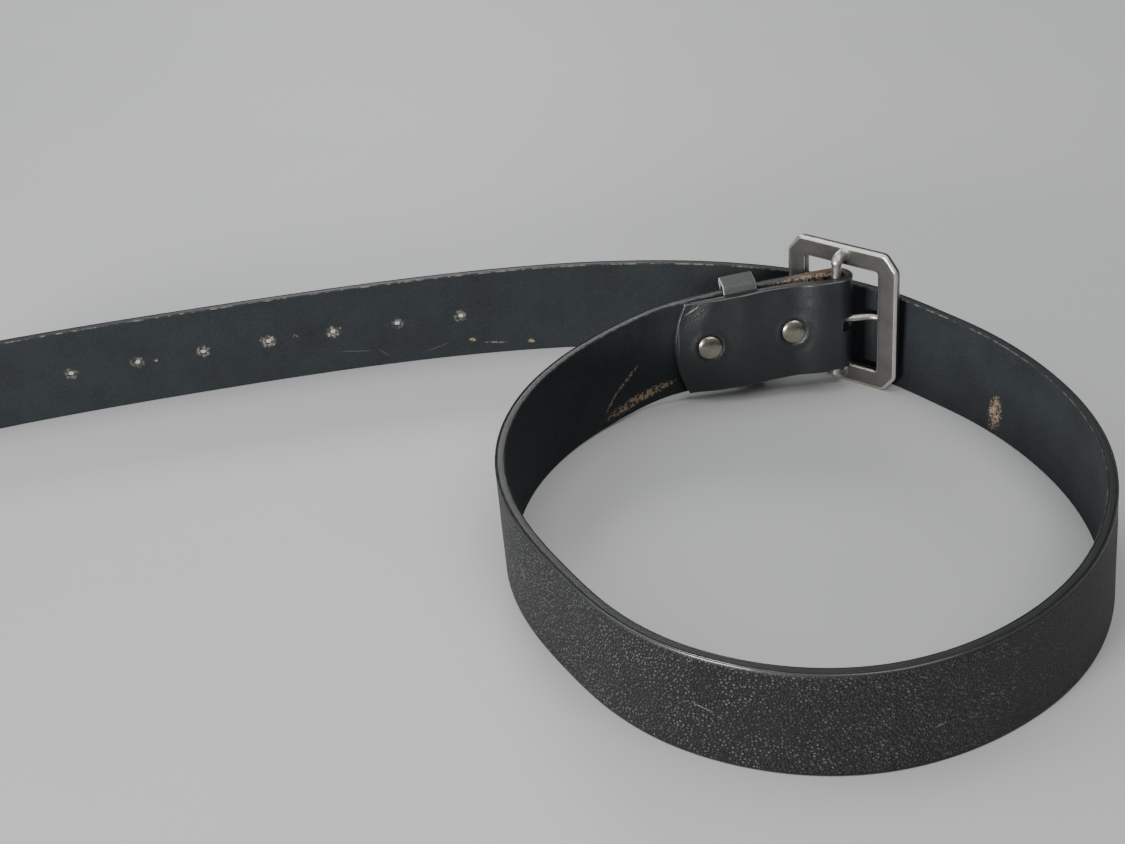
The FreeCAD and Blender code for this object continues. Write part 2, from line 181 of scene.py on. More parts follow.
def waves(n, lo, hi, seed):
    """a seeded sum of sines over (s, w), about -1..1"""
    r = np.random.default_rng(seed)
    ks = r.uniform(lo, hi, n) * 2 * math.pi
    an = r.uniform(0, math.pi, n)
    ph = r.uniform(0, 2 * math.pi, n)

    def f(s, w):
        out = 0.0
        for k, a, p in zip(ks, an, ph):
            out = out + np.sin(k * (s * math.cos(a) + w * math.sin(a)) + p)
        return out / math.sqrt(n)
    return f


wave_big = waves(9, 1 / 70.0, 1 / 22.0, 3)
wave_mid = waves(12, 1 / 11.0, 1 / 5.0, 4)
wave_fine = waves(14, 1 / 4.0, 1 / 2.2, 5)


def tail_end(w):
    return TIP_R - np.sqrt(TIP_R ** 2 - (w - W / 2) ** 2)


flap_u = (flap_xy - O2) @ U2
flap_s = line_s[-len(flap_xy):]


def u_to_s(u):
    return np.interp(-np.asarray(u, float), -flap_u, flap_s)


def s_to_u(s):
    return np.interp(s, flap_s, flap_u)


def flap_end(w):
    return u_to_s(-23.0 - np.sqrt(36.0 ** 2 - (w - W / 2) ** 2))


def rim(s, w):
    """distance to the strap's outline"""
    d = np.minimum(w, W - w)
    d = np.where(s < TIP_R + 2, np.minimum(d, TIP_R - np.hypot(s - TIP_R, w - W / 2)), d)
    cs = u_to_s(-23.0)
    d = np.where(s > u_to_s(-40.0), np.minimum(d, 36.0 - np.hypot(s - cs, w - W / 2)), d)
    return np.maximum(d, 0.0)


RIVET_U = (-46.5, -15.9)
RIVET_FLAP_S = [float(u_to_s(u)) for u in RIVET_U]
end_u = (main_xy[-900:] - O2) @ U2
RIVET_MAIN_S = [float(np.interp(u, end_u, line_s[len(main_xy) - 900:len(main_xy)])) for u in RIVET_U]


def edge_round(d, r):
    q = np.clip(r - d, 0, r)
    return r - np.sqrt(np.maximum(r * r - q * q, 0))


def grain_t(s, w):
    d = rim(s, w)
    t = H - edge_round(d, 0.5)
    inner = smooth(0.3, 2.5, d)
    t = t - inner * (0.05 + 0.05 * wave_big(s, w) + 0.022 * wave_mid(s, w) + 0.012 * wave_fine(s, w))
    # the leather pressed in under each rivet head, with a low ring and a shallow dish round it
    for cs in RIVET_FLAP_S + RIVET_MAIN_S:
        r = np.hypot(s - cs, w - W / 2)
        a = np.arctan2(w - W / 2, s - cs)
        ring = 1.0 + 0.25 * np.sin(3 * a + cs)
        t = t - 0.42 * (1 - smooth(4.35, 5.1, r)) + 0.11 * ring * np.exp(-((r - 5.7) / 0.55) ** 2)
        t = t - 0.10 * np.exp(-((r - 7.6) / 1.6) ** 2)
    # half-moon dent of the setting tool beside each head on the flap
    for cs in RIVET_FLAP_S:
        a = np.arctan2(w - W / 2, -(s - cs))
        r = np.hypot(s - cs, w - W / 2)
        win = np.exp(-((a + 0.75) / 0.42) ** 2)
        t = t - 0.30 * win * np.exp(-((r - 5.15) / 0.28) ** 2) + 0.10 * win * np.exp(-((r - 5.75) / 0.3) ** 2)
    # the flap is thinned towards its free end and swells where the keeper lies under it
    u = np.where(s > FOLD_S, s_to_u(s), 0.0)
    on = np.where(s > FOLD_S, 1.0, 0.0)
    end_d = np.where(s > u_to_s(-40.0), 36.0 - np.hypot(s - u_to_s(-23.0), w - W / 2), 60.0)
    t = t - on * (1.75 * (1 - smooth(-1.0, 10.0, end_d)) + 0.05)
    t = t + on * (0.44 * np.exp(-((u + 34.0) / 4.2) ** 2) - 0.16 * np.exp(-((u + 25.5) / 4.0) ** 2)
                  + 0.20 * np.exp(-((u + 5.5) / 3.2) ** 2))
    wr = on * (1 - smooth(0.5, 9.0, end_d))
    t = t + wr * 0.035 * np.sin(end_d * 4.2 + 1.2 * wave_big(s, w))
    # creases pressed in where the leather turns round the bar
    fo = np.exp(-((s - (LENGTH + 7.1)) / 5.0) ** 2)
    t = t - fo * 0.03 * (1 + np.sin(s * 5.0 + 0.5 * wave_big(s, w)))
    return t


def flesh_t(s, w):
    d = rim(s, w)
    t = -(H - edge_round(d, 0.35))
    inner = smooth(0.2, 2.0, d)
    t = t + inner * (0.04 * wave_big(s + 31, w) + 0.03 * wave_mid(s, w + 9) + 0.03 * wave_fine(s + 5, w))
    # rough flats scraped into the flesh beside the lower edge
    for cs, cw, ls, lw, dep in SCRAPES:
        q = np.hypot((s - cs) / ls, (w - cw) / lw)
        t = t + dep * (1 - smooth(0.55, 1.1, q)) * (1 + 0.4 * wave_fine(s * 1.7, w * 1.7))
    return t


# worn places on the flesh side, (along, across, half length, half width, depth)
SCRAPES = [(950.0, 4.2, 16.0, 2.0, 0.13), (474.5, 8.5, 3.0, 6.5, 0.10)]

# ------------------------------------------------------------ the strap mesh
rows = [0, .05, .14, .28, .5, .8, 1.3, 2.0, 2.9, 3.9, 4.9, 5.9, 6.9, 7.9, 8.9, 9.9, 10.75]
rows = rows + list(np.arange(11.5, 17.5, 0.75)) + [17.5]
rows = np.array(rows + [W - r for r in reversed(rows[:-1])])


def span(a, b, step):
    n = max(1, int(round((b - a) / step)))
    return list(np.linspace(a, b, n + 1)[:-1])


PATCH = 3.0
cols = span(22.0, HOLES[0] - PATCH, 1.3)
for k, hs in enumerate(HOLES):
    cols += span(hs - PATCH, hs + PATCH, 0.75)
    if k < 6:
        cols += span(hs + PATCH, HOLES[k + 1] - PATCH, 1.3)
SLOT_A, SLOT_B = LENGTH + 0.9, FOLD_S - 0.9
cols += span(HOLES[-1] + PATCH, 940.0, 1.25) + span(940.0, LENGTH - 66.0, 1.0)
cols += span(LENGTH - 66.0, LENGTH, 0.55) + span(LENGTH, SLOT_A, 0.3) + span(SLOT_A, SLOT_B, 0.34)
cols += span(SLOT_B, FOLD_S, 0.3) + span(FOLD_S, u_to_s(-50.0), 0.5) + [u_to_s(-50.0)]
cols = np.array(cols)
f_tail = np.array([0, .0025, .007, .014, .025, .04, .065, .1, .145, .2, .26, .33, .4, .48, .56, .64, .72, .8, .9])
f_flap = 1 - np.array([.93, .86, .79, .72, .65, .58, .51, .44, .37, .3, .24, .18, .13, .09, .055, .034, .016, .006, 0])
SS, WW = [], []
for f in f_tail:
    e = tail_end(rows)
    SS.append(e + (22.0 - e) * f)
    WW.append(rows)
for c in cols:
    SS.append(np.full(len(rows), c))
    WW.append(rows)
for f in f_flap:
    e = flap_end(rows)
    SS.append(u_to_s(-50.0) + (e - u_to_s(-50.0)) * f)
    WW.append(rows)
SS, WW = np.array(SS), np.array(WW)
nc, nr = SS.shape

verts, dev, faces, fmat = [], [], [], []
GRAIN, FLESH, EDGE, FLAP, HOLE, ROLL = 0, 1, 2, 3, 4, 5


def add_verts(s, w, t):
    base = sum(len(v) for v in verts)
    s, w, t = (np.ravel(a) for a in np.broadcast_arrays(s, w, t))
    verts.append(place(s, w, t))
    dev.append(np.stack([s, w, t], -1))
    return base + np.arange(len(s))


def add_quads(a, b, c, d, mat):
    q = np.stack([np.ravel(a), np.ravel(b), np.ravel(c), np.ravel(d)], -1)
    faces.append(q)
    fmat.append(np.broadcast_to(np.asarray(mat), (len(q),)).copy())


gi = add_verts(SS, WW, grain_t(SS, WW)).reshape(nc, nr)
fi = add_verts(SS, WW, flesh_t(SS, WW)).reshape(nc, nr)

cell_s = (SS[:-1, :-1] + SS[1:, :-1]) / 2
cell_w = (WW[:-1, :-1] + WW[:-1, 1:]) / 2
keep = np.ones((nc - 1, nr - 1), bool)
for hs in HOLES:
    keep &= ~((abs(cell_s - hs) < PATCH) & (abs(cell_w - W / 2) < PATCH))
slot_cell = (cell_s > SLOT_A) & (cell_s < SLOT_B) & (abs(cell_w - W / 2) < 2.25)
keep &= ~slot_cell
g_mat = np.where(cell_s > LENGTH + 7.1, FLAP, GRAIN)
g_mat = np.where(np.minimum(cell_w, W - cell_w) < 0.45, ROLL, g_mat)
add_quads(gi[:-1, :-1][keep], gi[:-1, 1:][keep], gi[1:, 1:][keep], gi[1:, :-1][keep], g_mat[keep])
add_quads(fi[:-1, :-1][keep], fi[1:, :-1][keep], fi[1:, 1:][keep], fi[:-1, 1:][keep], FLESH)

# the outline's wall: painted edge with a fine groove just under the grain's corner
lp = [(i, 0) for i in range(nc)] + [(nc - 1, j) for j in range(1, nr)] \
    + [(i, nr - 1) for i in range(nc - 2, -1, -1)] + [(0, j) for j in range(nr - 2, 0, -1)]
li = np.array([p[0] for p in lp])
lj = np.array([p[1] for p in lp])
ls_, lw_ = SS[li, lj], WW[li, lj]
tx, ty = np.roll(ls_, -1) - np.roll(ls_, 1), np.roll(lw_, -1) - np.roll(lw_, 1)
nn = np.hypot(tx, ty)
on_s, on_w = ty / nn, -tx / nn          # outward in the strap's own plane
edge_wave = 0.05 * waves(8, 1 / 30.0, 1 / 9.0, 11)(ls_, lw_)
wall = [(1.06, -0.02), (0.98, -0.20), (0.86, -0.24), (0.76, -0.06), (0.55, -0.02), (0.15, 0.0),
        (-0.4, 0.0), (-0.85, -0.03), (-1.1, -0.08)]
g_line, f_line = gi[li, lj], fi[li, lj]
gt, ft = grain_t(ls_, lw_), flesh_t(ls_, lw_)
prev = g_line
top_t, low_t = H - 0.5, -(H - 0.35)
wall_rows = []
for k, (tt, off) in enumerate(wall):
    f = (top_t - tt) / (top_t - low_t)
    t_here = gt + (ft - gt) * f
    o = off + (edge_wave * 0.5 if 0.0 < f < 1.0 else 0.0) - 0.03
    idx = add_verts(ls_ + on_s * o, lw_ + on_w * o, t_here)
    m = ROLL if k == 0 else EDGE
    add_quads(prev, idx, np.roll(idx, -1), np.roll(prev, -1), m)
    prev = idx
add_quads(prev, f_line, np.roll(f_line, -1), np.roll(prev, -1), EDGE)

# the slot for the prong through the fold
ia = int(np.argmin(abs(SS[:, 0] - SLOT_A)))
ib = int(np.argmin(abs(SS[:, 0] - SLOT_B)))
ja = int(np.argmin(abs(rows - (W / 2 - 2.25))))
jb = int(np.argmin(abs(rows - (W / 2 + 2.25))))
sl = [(i, ja) for i in range(ia, ib)] + [(ib, j) for j in range(ja, jb)] \
    + [(i, jb) for i in range(ib, ia, -1)] + [(ia, j) for j in range(jb, ja, -1)]
si, sj = np.array([p[0] for p in sl]), np.array([p[1] for p in sl])
a_, b_ = gi[si, sj], fi[si, sj]
g_s, g_w = SS[si, sj], WW[si, sj]
mids = add_verts(g_s, g_w, 0.0)
add_quads(a_, np.roll(a_, -1), np.roll(mids, -1), mids, EDGE)
add_quads(mids, np.roll(mids, -1), np.roll(b_, -1), b_, EDGE)

# punched holes: round, with a soft rim on the grain side and a torn one on the flesh side
FRAY = [0.5, 0.6, 0.8, 1.35, 1.3, 0.55, 0.7]
for k, hs in enumerate(HOLES):
    i0 = int(np.argmin(abs(SS[:, nr // 2] - (hs - PATCH))))
    i1 = int(np.argmin(abs(SS[:, nr // 2] - (hs + PATCH))))
    j0 = int(np.argmin(abs(rows - (W / 2 - PATCH))))
    j1 = int(np.argmin(abs(rows - (W / 2 + PATCH))))
    sq = [(i, j0) for i in range(i0, i1)] + [(i1, j) for j in range(j0, j1)] \
        + [(i, j1) for i in range(i1, i0, -1)] + [(i0, j) for j in range(j1, j0, -1)]
    qi, qj = np.array([p[0] for p in sq]), np.array([p[1] for p in sq])
    ds, dw = SS[qi, qj] - hs, WW[qi, qj] - W / 2
    ang = np.arctan2(dw, ds)
    r = np.random.default_rng(100 + k)
    c = np.array([sum(r.normal(0, 1.0 / (m ** 0.6)) * np.cos(m * a + ph) for m, ph in
                      zip(range(2, 12), r.uniform(0, 6.28, 10))) for a in ang])
    c = c / np.max(np.abs(c))
    rr = 2.0 + 0.03 * c
    # grain side
    prev = gi[qi, qj]
    for b, rad, dip in [(0.4, 2.7, 0), (0.75, 2.6, 0.01), (1.0, 2.45, 0.04), (1.0, 2.24, 0.12), (1.0, 2.08, 0.26), (1.0, 2.0, 0.48)]:
        ps = (1 - b) * ds + b * np.cos(ang) * (rad + rr - 2.0)
        pw = (1 - b) * dw + b * np.sin(ang) * (rad + rr - 2.0)
        idx = add_verts(hs + ps, W / 2 + pw, grain_t(hs + ds, W / 2 + dw) - dip)
        # same turn as the grain grid
        add_quads(prev, idx, np.roll(idx, -1), np.roll(prev, -1), GRAIN if dip < 0.2 else HOLE)
        prev = idx
    g_in = prev
    # wall
    for tt in (0.55, 0.0, -0.6, -1.1):
        rad = rr + 0.05 * r.normal(0, 1, len(ang)) * (1 if tt < 0 else 0.5)
        idx = add_verts(hs + np.cos(ang) * rad, W / 2 + np.sin(ang) * rad, tt + 0.05 * r.normal(0, 1, len(ang)))
        add_quads(prev, idx, np.roll(idx, -1), np.roll(prev, -1), HOLE)
        prev = idx
    # flesh side, from the wall out to the square
    fr_ = FRAY[k]
    lip = np.clip(0.5 + 0.5 * c, 0, 1)
    for b, rad, up, m in [(1.0, 0.98, -0.45, EDGE), (1.0, 1.10, -0.1, EDGE), (1.0, 1.9, 0.12, FLESH), (1.0, 2.45, 0.20, FLESH), (1.0, 2.7, 0.08, FLESH), (0.7, 2.75, 0.02, FLESH)]:
        rad_ = rad + rr - 2.0 + 0.16 * fr_ * c * (1 if 2.1 < rad < 2.6 else 0.2)
        if rad < 1.9:
            rad_ = rad_ + 0.16 * r.normal(0, 1, len(ang)).clip(-1.5, 1.5) + 0.22 * c
        ps = (1 - b) * ds + b * np.cos(ang) * rad_
        pw = (1 - b) * dw + b * np.sin(ang) * rad_
        t_ = flesh_t(hs + ds, W / 2 + dw) - up * fr_ * lip + (0.05 * r.normal(0, 1, len(ang)) if m == EDGE else 0)
        idx = add_verts(hs + ps, W / 2 + pw, t_)
        add_quads(prev, idx, np.roll(idx, -1), np.roll(prev, -1), m)
        prev = idx
    last = fi[qi, qj]
    add_quads(prev, last, np.roll(last, -1), np.roll(prev, -1), FLESH)


def mesh_object(name, v_mm, f, mats, fm=None, attrs=None, flat=False):
    me = bpy.data.meshes.new(name)
    me.from_pydata((np.asarray(v_mm, float) * MM).tolist(), [], [list(map(int, q)) for q in f])
    if attrs:
        for an, data in attrs.items():
            at = me.attributes.new(an, 'FLOAT_VECTOR', 'POINT')
            at.data.foreach_set('vector', np.ascontiguousarray(data, dtype=np.float32).ravel())
    for m in mats:
        me.materials.append(m)
    if fm is not None:
        me.polygons.foreach_set('material_index', np.asarray(fm, dtype=np.int32))
    me.polygons.foreach_set('use_smooth', np.full(len(me.polygons), not flat))
    me.validate()
    me.update()
    ob = bpy.data.objects.new(name, me)
    bpy.context.scene.collection.objects.link(ob)
    return ob


# ------------------------------------------------------------------ materials
class Mat:
    def __init__(self, name):
        self.m = bpy.data.materials.new(name)
        self.m.use_nodes = True
        self.t = self.m.node_tree
        self.t.nodes.clear()
        self.out = self.t.nodes.new('ShaderNodeOutputMaterial')
        self.bsdf = self.t.nodes.new('ShaderNodeBsdfPrincipled')
        self.t.links.new(self.bsdf.outputs[0], self.out.inputs['Surface'])

    def set(self, **kw):
        for k, v in kw.items():
            self.bsdf.inputs[k.replace('_', ' ')].default_value = v

    def node(self, kind, props=None, ins=None):
        n = self.t.nodes.new(kind)
        for k, v in (props or {}).items():
            setattr(n, k, v)
        for k, v in (ins or {}).items():
            sock = n.inputs[k]
            if isinstance(v, bpy.types.NodeSocket):
                self.t.links.new(v, sock)
            else:
                sock.default_value = v
        return n

    def link(self, a, b):
        self.t.links.new(a, self.bsdf.inputs[b] if isinstance(b, str) else b)

    def math(self, op, a, b=0.0, c=None, clamp=False):
        ins = {0: a, 1: b}
        if c is not None:
            ins[2] = c
        return self.node('ShaderNodeMath', {'operation': op, 'use_clamp': clamp}, ins).outputs[0]

    def ramp(self, fac, stops):
        n = self.node('ShaderNodeValToRGB', None, {'Fac': fac})
        e = n.color_ramp.elements
        while len(e) < len(stops):
            e.new(0.5)
        for el, (p, c) in zip(e, stops):
            el.position = p
            el.color = c if len(c) == 4 else (*c, 1.0)
        return n.outputs['Color']

    def remap(self, v, a, b, c, d, kind='SMOOTHSTEP'):
        return self.node('ShaderNodeMapRange', {'interpolation_type': kind},
                         {'Value': v, 'From Min': a, 'From Max': b, 'To Min': c, 'To Max': d}).outputs['Result']

    def mix(self, fac, a, b):
        n = self.node('ShaderNodeMix', {'data_type': 'RGBA'})
        n.inputs[0].default_value = 0.5
        if isinstance(fac, bpy.types.NodeSocket):
            self.t.links.new(fac, n.inputs[0])
        else:
            n.inputs[0].default_value = fac
        for k, v in ((6, a), (7, b)):
            if isinstance(v, bpy.types.NodeSocket):
                self.t.links.new(v, n.inputs[k])
            else:
                n.inputs[k].default_value = (*v, 1.0) if len(v) == 3 else v
        return n.outputs[2]

    def dev(self):
        if not hasattr(self, '_dev'):
            self._dev = self.node('ShaderNodeAttribute', {'attribute_name': 'dev'}).outputs['Vector']
        return self._dev

    def scaled(self, vec, sc, loc=(0, 0, 0), rot=(0, 0, 0)):
        return self.node('ShaderNodeMapping', {'vector_type': 'TEXTURE'},
                         {'Vector': vec, 'Location': loc, 'Rotation': rot, 'Scale': sc}).outputs[0]

    def noise(self, vec, scale, detail=3.0, rough=0.55, dist=0.0):
        return self.node('ShaderNodeTexNoise', None, {'Vector': vec, 'Scale': scale, 'Detail': detail,
                                                      'Roughness': rough, 'Distortion': dist}).outputs['Fac']

    def voronoi(self, vec, scale, feature='F1', rand=1.0):
        n = self.node('ShaderNodeTexVoronoi', {'feature': feature}, {'Vector': vec, 'Scale': scale, 'Randomness': rand})
        return n.outputs['Distance']

    def spot(self, loc, size, ang=0.0):
        """0 at the middle of an ellipse on the strap, 1 on its rim"""
        v = self.scaled(self.dev(), (size[0], size[1], 60.0), (loc[0], loc[1], 0.0), (0, 0, ang))
        return self.node('ShaderNodeVectorMath', {'operation': 'LENGTH'}, {0: v}).outputs['Value']

    def bump(self, height, strength, dist, normal=None):
        ins = {'Height': height, 'Strength': strength, 'Distance': dist}
        if normal is not None:
            ins['Normal'] = normal
        return self.node('ShaderNodeBump', None, ins).outputs[0]


def pebble_leather(name, cell, bump, base_lo, base_hi, rough_lo, rough_hi, wear_and_glint_speck, spec, scuffs=()):
    m = Mat(name)
    d = m.dev()
    warp = m.noise(d, 0.7, 2.0)
    edge = m.voronoi(d, cell, 'DISTANCE_TO_EDGE')
    cells = m.voronoi(d, cell, 'F1')
    fine = m.noise(d, 4.0, 4.0, 0.7)
    tone = m.noise(d, 0.05, 4.0, 0.6)
    speckle = m.noise(d, 0.75, 3.0, 0.7)
    patchy = m.noise(d, 0.10, 3.0, 0.6)
    # the drifts are strongest round s 800, the left bend, where the pale pebble tops are painted glints as well as wear
    wear_and_glint_drift = m.math('ADD', patchy, m.math('MULTIPLY', m.spot((800.0, 17.0), (70.0, 400.0)), -0.07))
    pores = m.voronoi(d, cell * 2.3, 'F1')
    sep = m.node('ShaderNodeSeparateXYZ', None, {0: d})
    wpos = sep.outputs['Y']
    side = m.math('MINIMUM', wpos, m.math('SUBTRACT', W, wpos))
    inner = m.remap(side, 0.35, 1.6, 0.0, 1.0)
    hgt = m.remap(edge, 0.0, 0.22, 0.0, 1.0)
    hgt = m.math('ADD', m.math('MULTIPLY', hgt, 0.8), m.math('MULTIPLY', fine, 0.6))
    hgt = m.math('ADD', hgt, m.math('MULTIPLY', warp, 0.5))
    hgt = m.math('MULTIPLY', hgt, inner)
    col = m.ramp(tone, [(0.3, base_lo), (0.7, base_hi)])
    # the tops of the pebbles are painted pale, partly as rubbed wear and partly as painted glints, in drifts that
    # gather round the left bend
    top = m.math('MULTIPLY', m.remap(cells, 0.14, 0.44, 1.0, 0.0), m.remap(speckle, 0.40, 0.54, 0.0, 1.0))
    top = m.math('MULTIPLY', top, m.remap(wear_and_glint_drift, 0.28, 0.52, 0.30, 1.0))
    top = m.math('MULTIPLY', top, inner)
    col = m.mix(m.math('MULTIPLY', top, wear_and_glint_speck[0]), col, wear_and_glint_speck[1])
    rough = m.remap(m.math('ADD', m.math('MULTIPLY', tone, 0.5), m.math('MULTIPLY', fine, 0.5)), 0.3, 0.7, rough_lo, rough_hi, 'LINEAR')
    br = m.noise(d, 3.2, 4.0, 0.7)
    for loc, size, ang, colr, soft in scuffs:
        q = m.spot(loc, size, ang)
        k = m.remap(m.math('ADD', q, m.math('MULTIPLY', m.math('SUBTRACT', br, 0.5), 2.4)), 0.4, 1.0, soft, 0.0)
        col = m.mix(k, col, colr)
    m.link(col, 'Base Color')
    m.link(rough, 'Roughness')
    m.link(m.bump(hgt, bump, 0.0004, m.bump(pores, 0.35, 0.00008)), 'Normal')
    m.set(Specular_IOR_Level=spec, IOR=1.5)
    return m.m


PALE = (0.20, 0.20, 0.19)
# the pale pebble tops of both leathers are partly rubbed wear and partly painted glints
grain_mat = pebble_leather('belt_grain_leather', 0.98, 1.0, (0.0013, 0.0014, 0.0017), (0.0034, 0.0036, 0.0040), 0.44, 0.56,
                           (1.0, (0.090, 0.093, 0.097)), 0.40,
                           [((730.0, 18.0), (3.4, 0.24), 0.25, PALE, 0.7), ((668.0, 13.0), (2.4, 0.24), -0.3, PALE, 0.6),
                            ((812.0, 18.5), (3.2, 0.30), 0.6, PALE, 0.75), ((846.0, 9.0), (1.6, 0.2), 1.2, PALE, 0.5)])
flap_mat = pebble_leather('belt_flap_leather', 1.5, 0.16, (0.0085, 0.0105, 0.012), (0.0135, 0.0160, 0.018), 0.30, 0.40,
                          (0.25, (0.045, 0.05, 0.054)), 0.50,
                          [((float(u_to_s(-52.0)), 32.6), (3.4, 0.34), -0.5, (0.24, 0.24, 0.23), 0.7),
                           # the two narrow pale lines across the flap's thinned end are painted highlights along its
                           # fine wrinkles
                           ((float(u_to_s(-57.5)), 22.0), (0.30, 7.5), 0.06, (0.10, 0.10, 0.10), 0.5),
                           ((float(u_to_s(-58.2)), 9.0), (0.25, 5.0), -0.25, (0.10, 0.10, 0.10), 0.5)])


def flesh_leather():
    m = Mat('belt_flesh_leather')
    d = m.dev()
    fib = m.noise(m.scaled(d, (1.9, 0.8, 1.0)), 1.7, 6.0, 0.72, 0.4)
    cloud = m.noise(d, 0.06, 5.0, 0.62)
    fine = m.noise(d, 6.0, 4.0, 0.75)
    col = m.ramp(cloud, [(0.28, (0.0105, 0.0130, 0.0148)), (0.5, (0.0150, 0.0190, 0.0215)), (0.72, (0.0205, 0.0240, 0.0258))])
    col = m.mix(m.remap(fib, 0.50, 0.78, 0.0, 0.75), col, (0.050, 0.053, 0.054))
    col = m.mix(m.remap(fine, 0.66, 0.86, 0.0, 0.5), col, (0.10, 0.095, 0.085))
    fade = m.noise(d, 0.35, 4.0, 0.6)
    hgt = m.math('ADD', m.math('MULTIPLY', fib, 0.7), m.math('MULTIPLY', fine, 0.6))
    sep = m.node('ShaderNodeSeparateXYZ', None, {0: d})
    wpos = sep.outputs['Y']
    # a pale line along the upper corner of the tail, partly a rubbed corner and partly a painted highlight along that
    # corner
    top = m.math('SUBTRACT', W, wpos)
    worn_and_highlight_line = m.math('MULTIPLY', m.remap(top, 0.18, 0.5, 0.85, 0.0), m.remap(fade, 0.46, 0.62, 0.05, 0.8))
    worn_and_highlight_line = m.math('MULTIPLY', worn_and_highlight_line, m.remap(sep.outputs['X'], 380.0, 520.0, 1.0, 0.35))
    col = m.mix(worn_and_highlight_line, col, (0.22, 0.205, 0.19))
    rough = m.remap(cloud, 0.3, 0.7, 0.72, 0.9, 'LINEAR')
    tan = m.ramp(m.noise(d, 2.4, 5.0, 0.7), [(0.3, (0.07, 0.045, 0.028)), (0.5, (0.25, 0.18, 0.12)), (0.66, (0.50, 0.42, 0.32))])
    pale_raw = m.ramp(m.noise(d, 2.4, 5.0, 0.7), [(0.32, (0.05, 0.04, 0.03)), (0.5, (0.22, 0.19, 0.15)), (0.66, (0.46, 0.44, 0.39))])
    tear = m.noise(m.scaled(d, (1.6, 0.7, 1.0)), 1.1, 5.0, 0.7)
    grit = m.remap(m.noise(d, 1.05, 4.0, 0.75), 0.45, 0.52, 0.0, 1.0)
    for loc, size, ang, amount in WORN:
        q = m.spot(loc, size, ang)
        q = m.math('ADD', q, m.math('MULTIPLY', m.math('SUBTRACT', tear, 0.5), 2.2))
        k = m.math('MULTIPLY', m.remap(q, 0.55, 1.0, amount, 0.0), grit)
        col = m.mix(k, col, tan)
    # shallow bent scratches beside the last holes
    for loc, size, ang in (((208.0, 7.8), (7.5, 0.28), -0.12), ((219.0, 5.4), (3.6, 0.26), -0.75), ((240.0, 5.0), (6.0, 0.22), 0.3)):
        q = m.math('ADD', m.spot(loc, size, ang), m.math('MULTIPLY', m.math('SUBTRACT', tear, 0.5), 0.9))
        col = m.mix(m.remap(q, 0.5, 1.0, 0.55, 0.0), col, (0.085, 0.088, 0.088))
    # bare tan fibres round each punched hole
    for k_, hs in enumerate(HOLES):
        q = m.spot((hs, W / 2), (2.75 + 0.35 * FRAY[k_], 2.6 + 0.35 * FRAY[k_]))
        q = m.math('ADD', q, m.math('MULTIPLY', m.math('SUBTRACT', m.noise(d, 0.9, 5.0, 0.75), 0.5), 1.9))
        col = m.mix(m.math('MULTIPLY', m.remap(q, 0.62, 0.95, 0.15 + 0.55 * min(FRAY[k_], 1.3), 0.0), m.remap(m.noise(d, 0.75, 3.0, 0.7), 0.44, 0.56, 0.1, 1.0)), col, pale_raw)
    m.link(col, 'Base Color')
    m.link(rough, 'Roughness')
    m.link(m.bump(hgt, 0.9, 0.0003), 'Normal')
    m.set(Specular_IOR_Level=0.22)
    return m.m


# worn-through and scuffed places on the flesh side: (along, across), (half sizes), turn, amount
WORN = [((950.0, 4.2), (17.5, 2.1), 0.07, 1.0), ((957.0, 4.6), (9.0, 1.5), 0.1, 1.0), ((946.0, 14.0), (7.0, 0.8), 0.55, 0.75),
        ((938.0, 8.5), (5.0, 0.7), 0.75, 0.6), ((474.5, 8.5), (3.4, 7.8), -0.1, 1.0), ((254.0, 6.6), (1.6, 1.0), 0.0, 1.0),
        ((277.0, 4.0), (1.5, 0.9), 0.0, 1.0), ((263.0, 4.6), (5.0, 0.5), -0.1, 0.4), ((132.5, 17.0), (0.8, 0.7), 0.0, 0.9),
        ((186.0, 18.0), (1.2, 0.9), 0.0, 0.7), ((LENGTH - 9.0, 32.5), (15.0, 4.6), 0.0, 1.0)]
flesh_mat = flesh_leather()


def edge_paint():
    m = Mat('belt_edge_paint')
    d = m.dev()
    run = m.noise(m.scaled(d, (14.0, 1.0, 0.5)), 1.0, 5.0, 0.6)
    fine = m.noise(d, 4.0, 4.0, 0.7)
    sep = m.node('ShaderNodeSeparateXYZ', None, {0: d})
    t = sep.outputs['Z']
    col = m.ramp(m.math('ADD', m.math('MULTIPLY', run, 0.6), m.math('MULTIPLY', fine, 0.4)),
                 [(0.3, (0.010, 0.011, 0.0115)), (0.52, (0.019, 0.020, 0.020)), (0.72, (0.036, 0.037, 0.036))])
    # the fine groove under the grain's corner is also painted darker: painted shade in the recess
    painted_groove_shade = m.remap(m.math('ABSOLUTE', m.math('SUBTRACT', t, 0.92), 0.0), 0.10, 0.24, 1.0, 0.0)
    col = m.mix(painted_groove_shade, col, (0.008, 0.008, 0.008))
    q = m.spot((LENGTH - 5.0, W), (12.0, 4.0))
    q = m.math('ADD', q, m.math('MULTIPLY', m.math('SUBTRACT', m.noise(d, 1.3, 4.0, 0.7), 0.5), 1.4))
    raw = m.ramp(m.noise(d, 2.2, 5.0, 0.75), [(0.35, (0.035, 0.022, 0.015)), (0.5, (0.10, 0.065, 0.042)), (0.66, (0.20, 0.145, 0.105))])
    col = m.mix(m.remap(q, 0.55, 1.05, 0.9, 0.0), col, raw)
    m.link(col, 'Base Color')
    m.link(m.remap(fine, 0.3, 0.7, 0.36, 0.52, 'LINEAR'), 'Roughness')
    m.link(m.bump(m.math('ADD', run, m.math('MULTIPLY', fine, 0.6)), 0.5, 0.00012), 'Normal')
    m.set(Specular_IOR_Level=0.26)
    return m.m


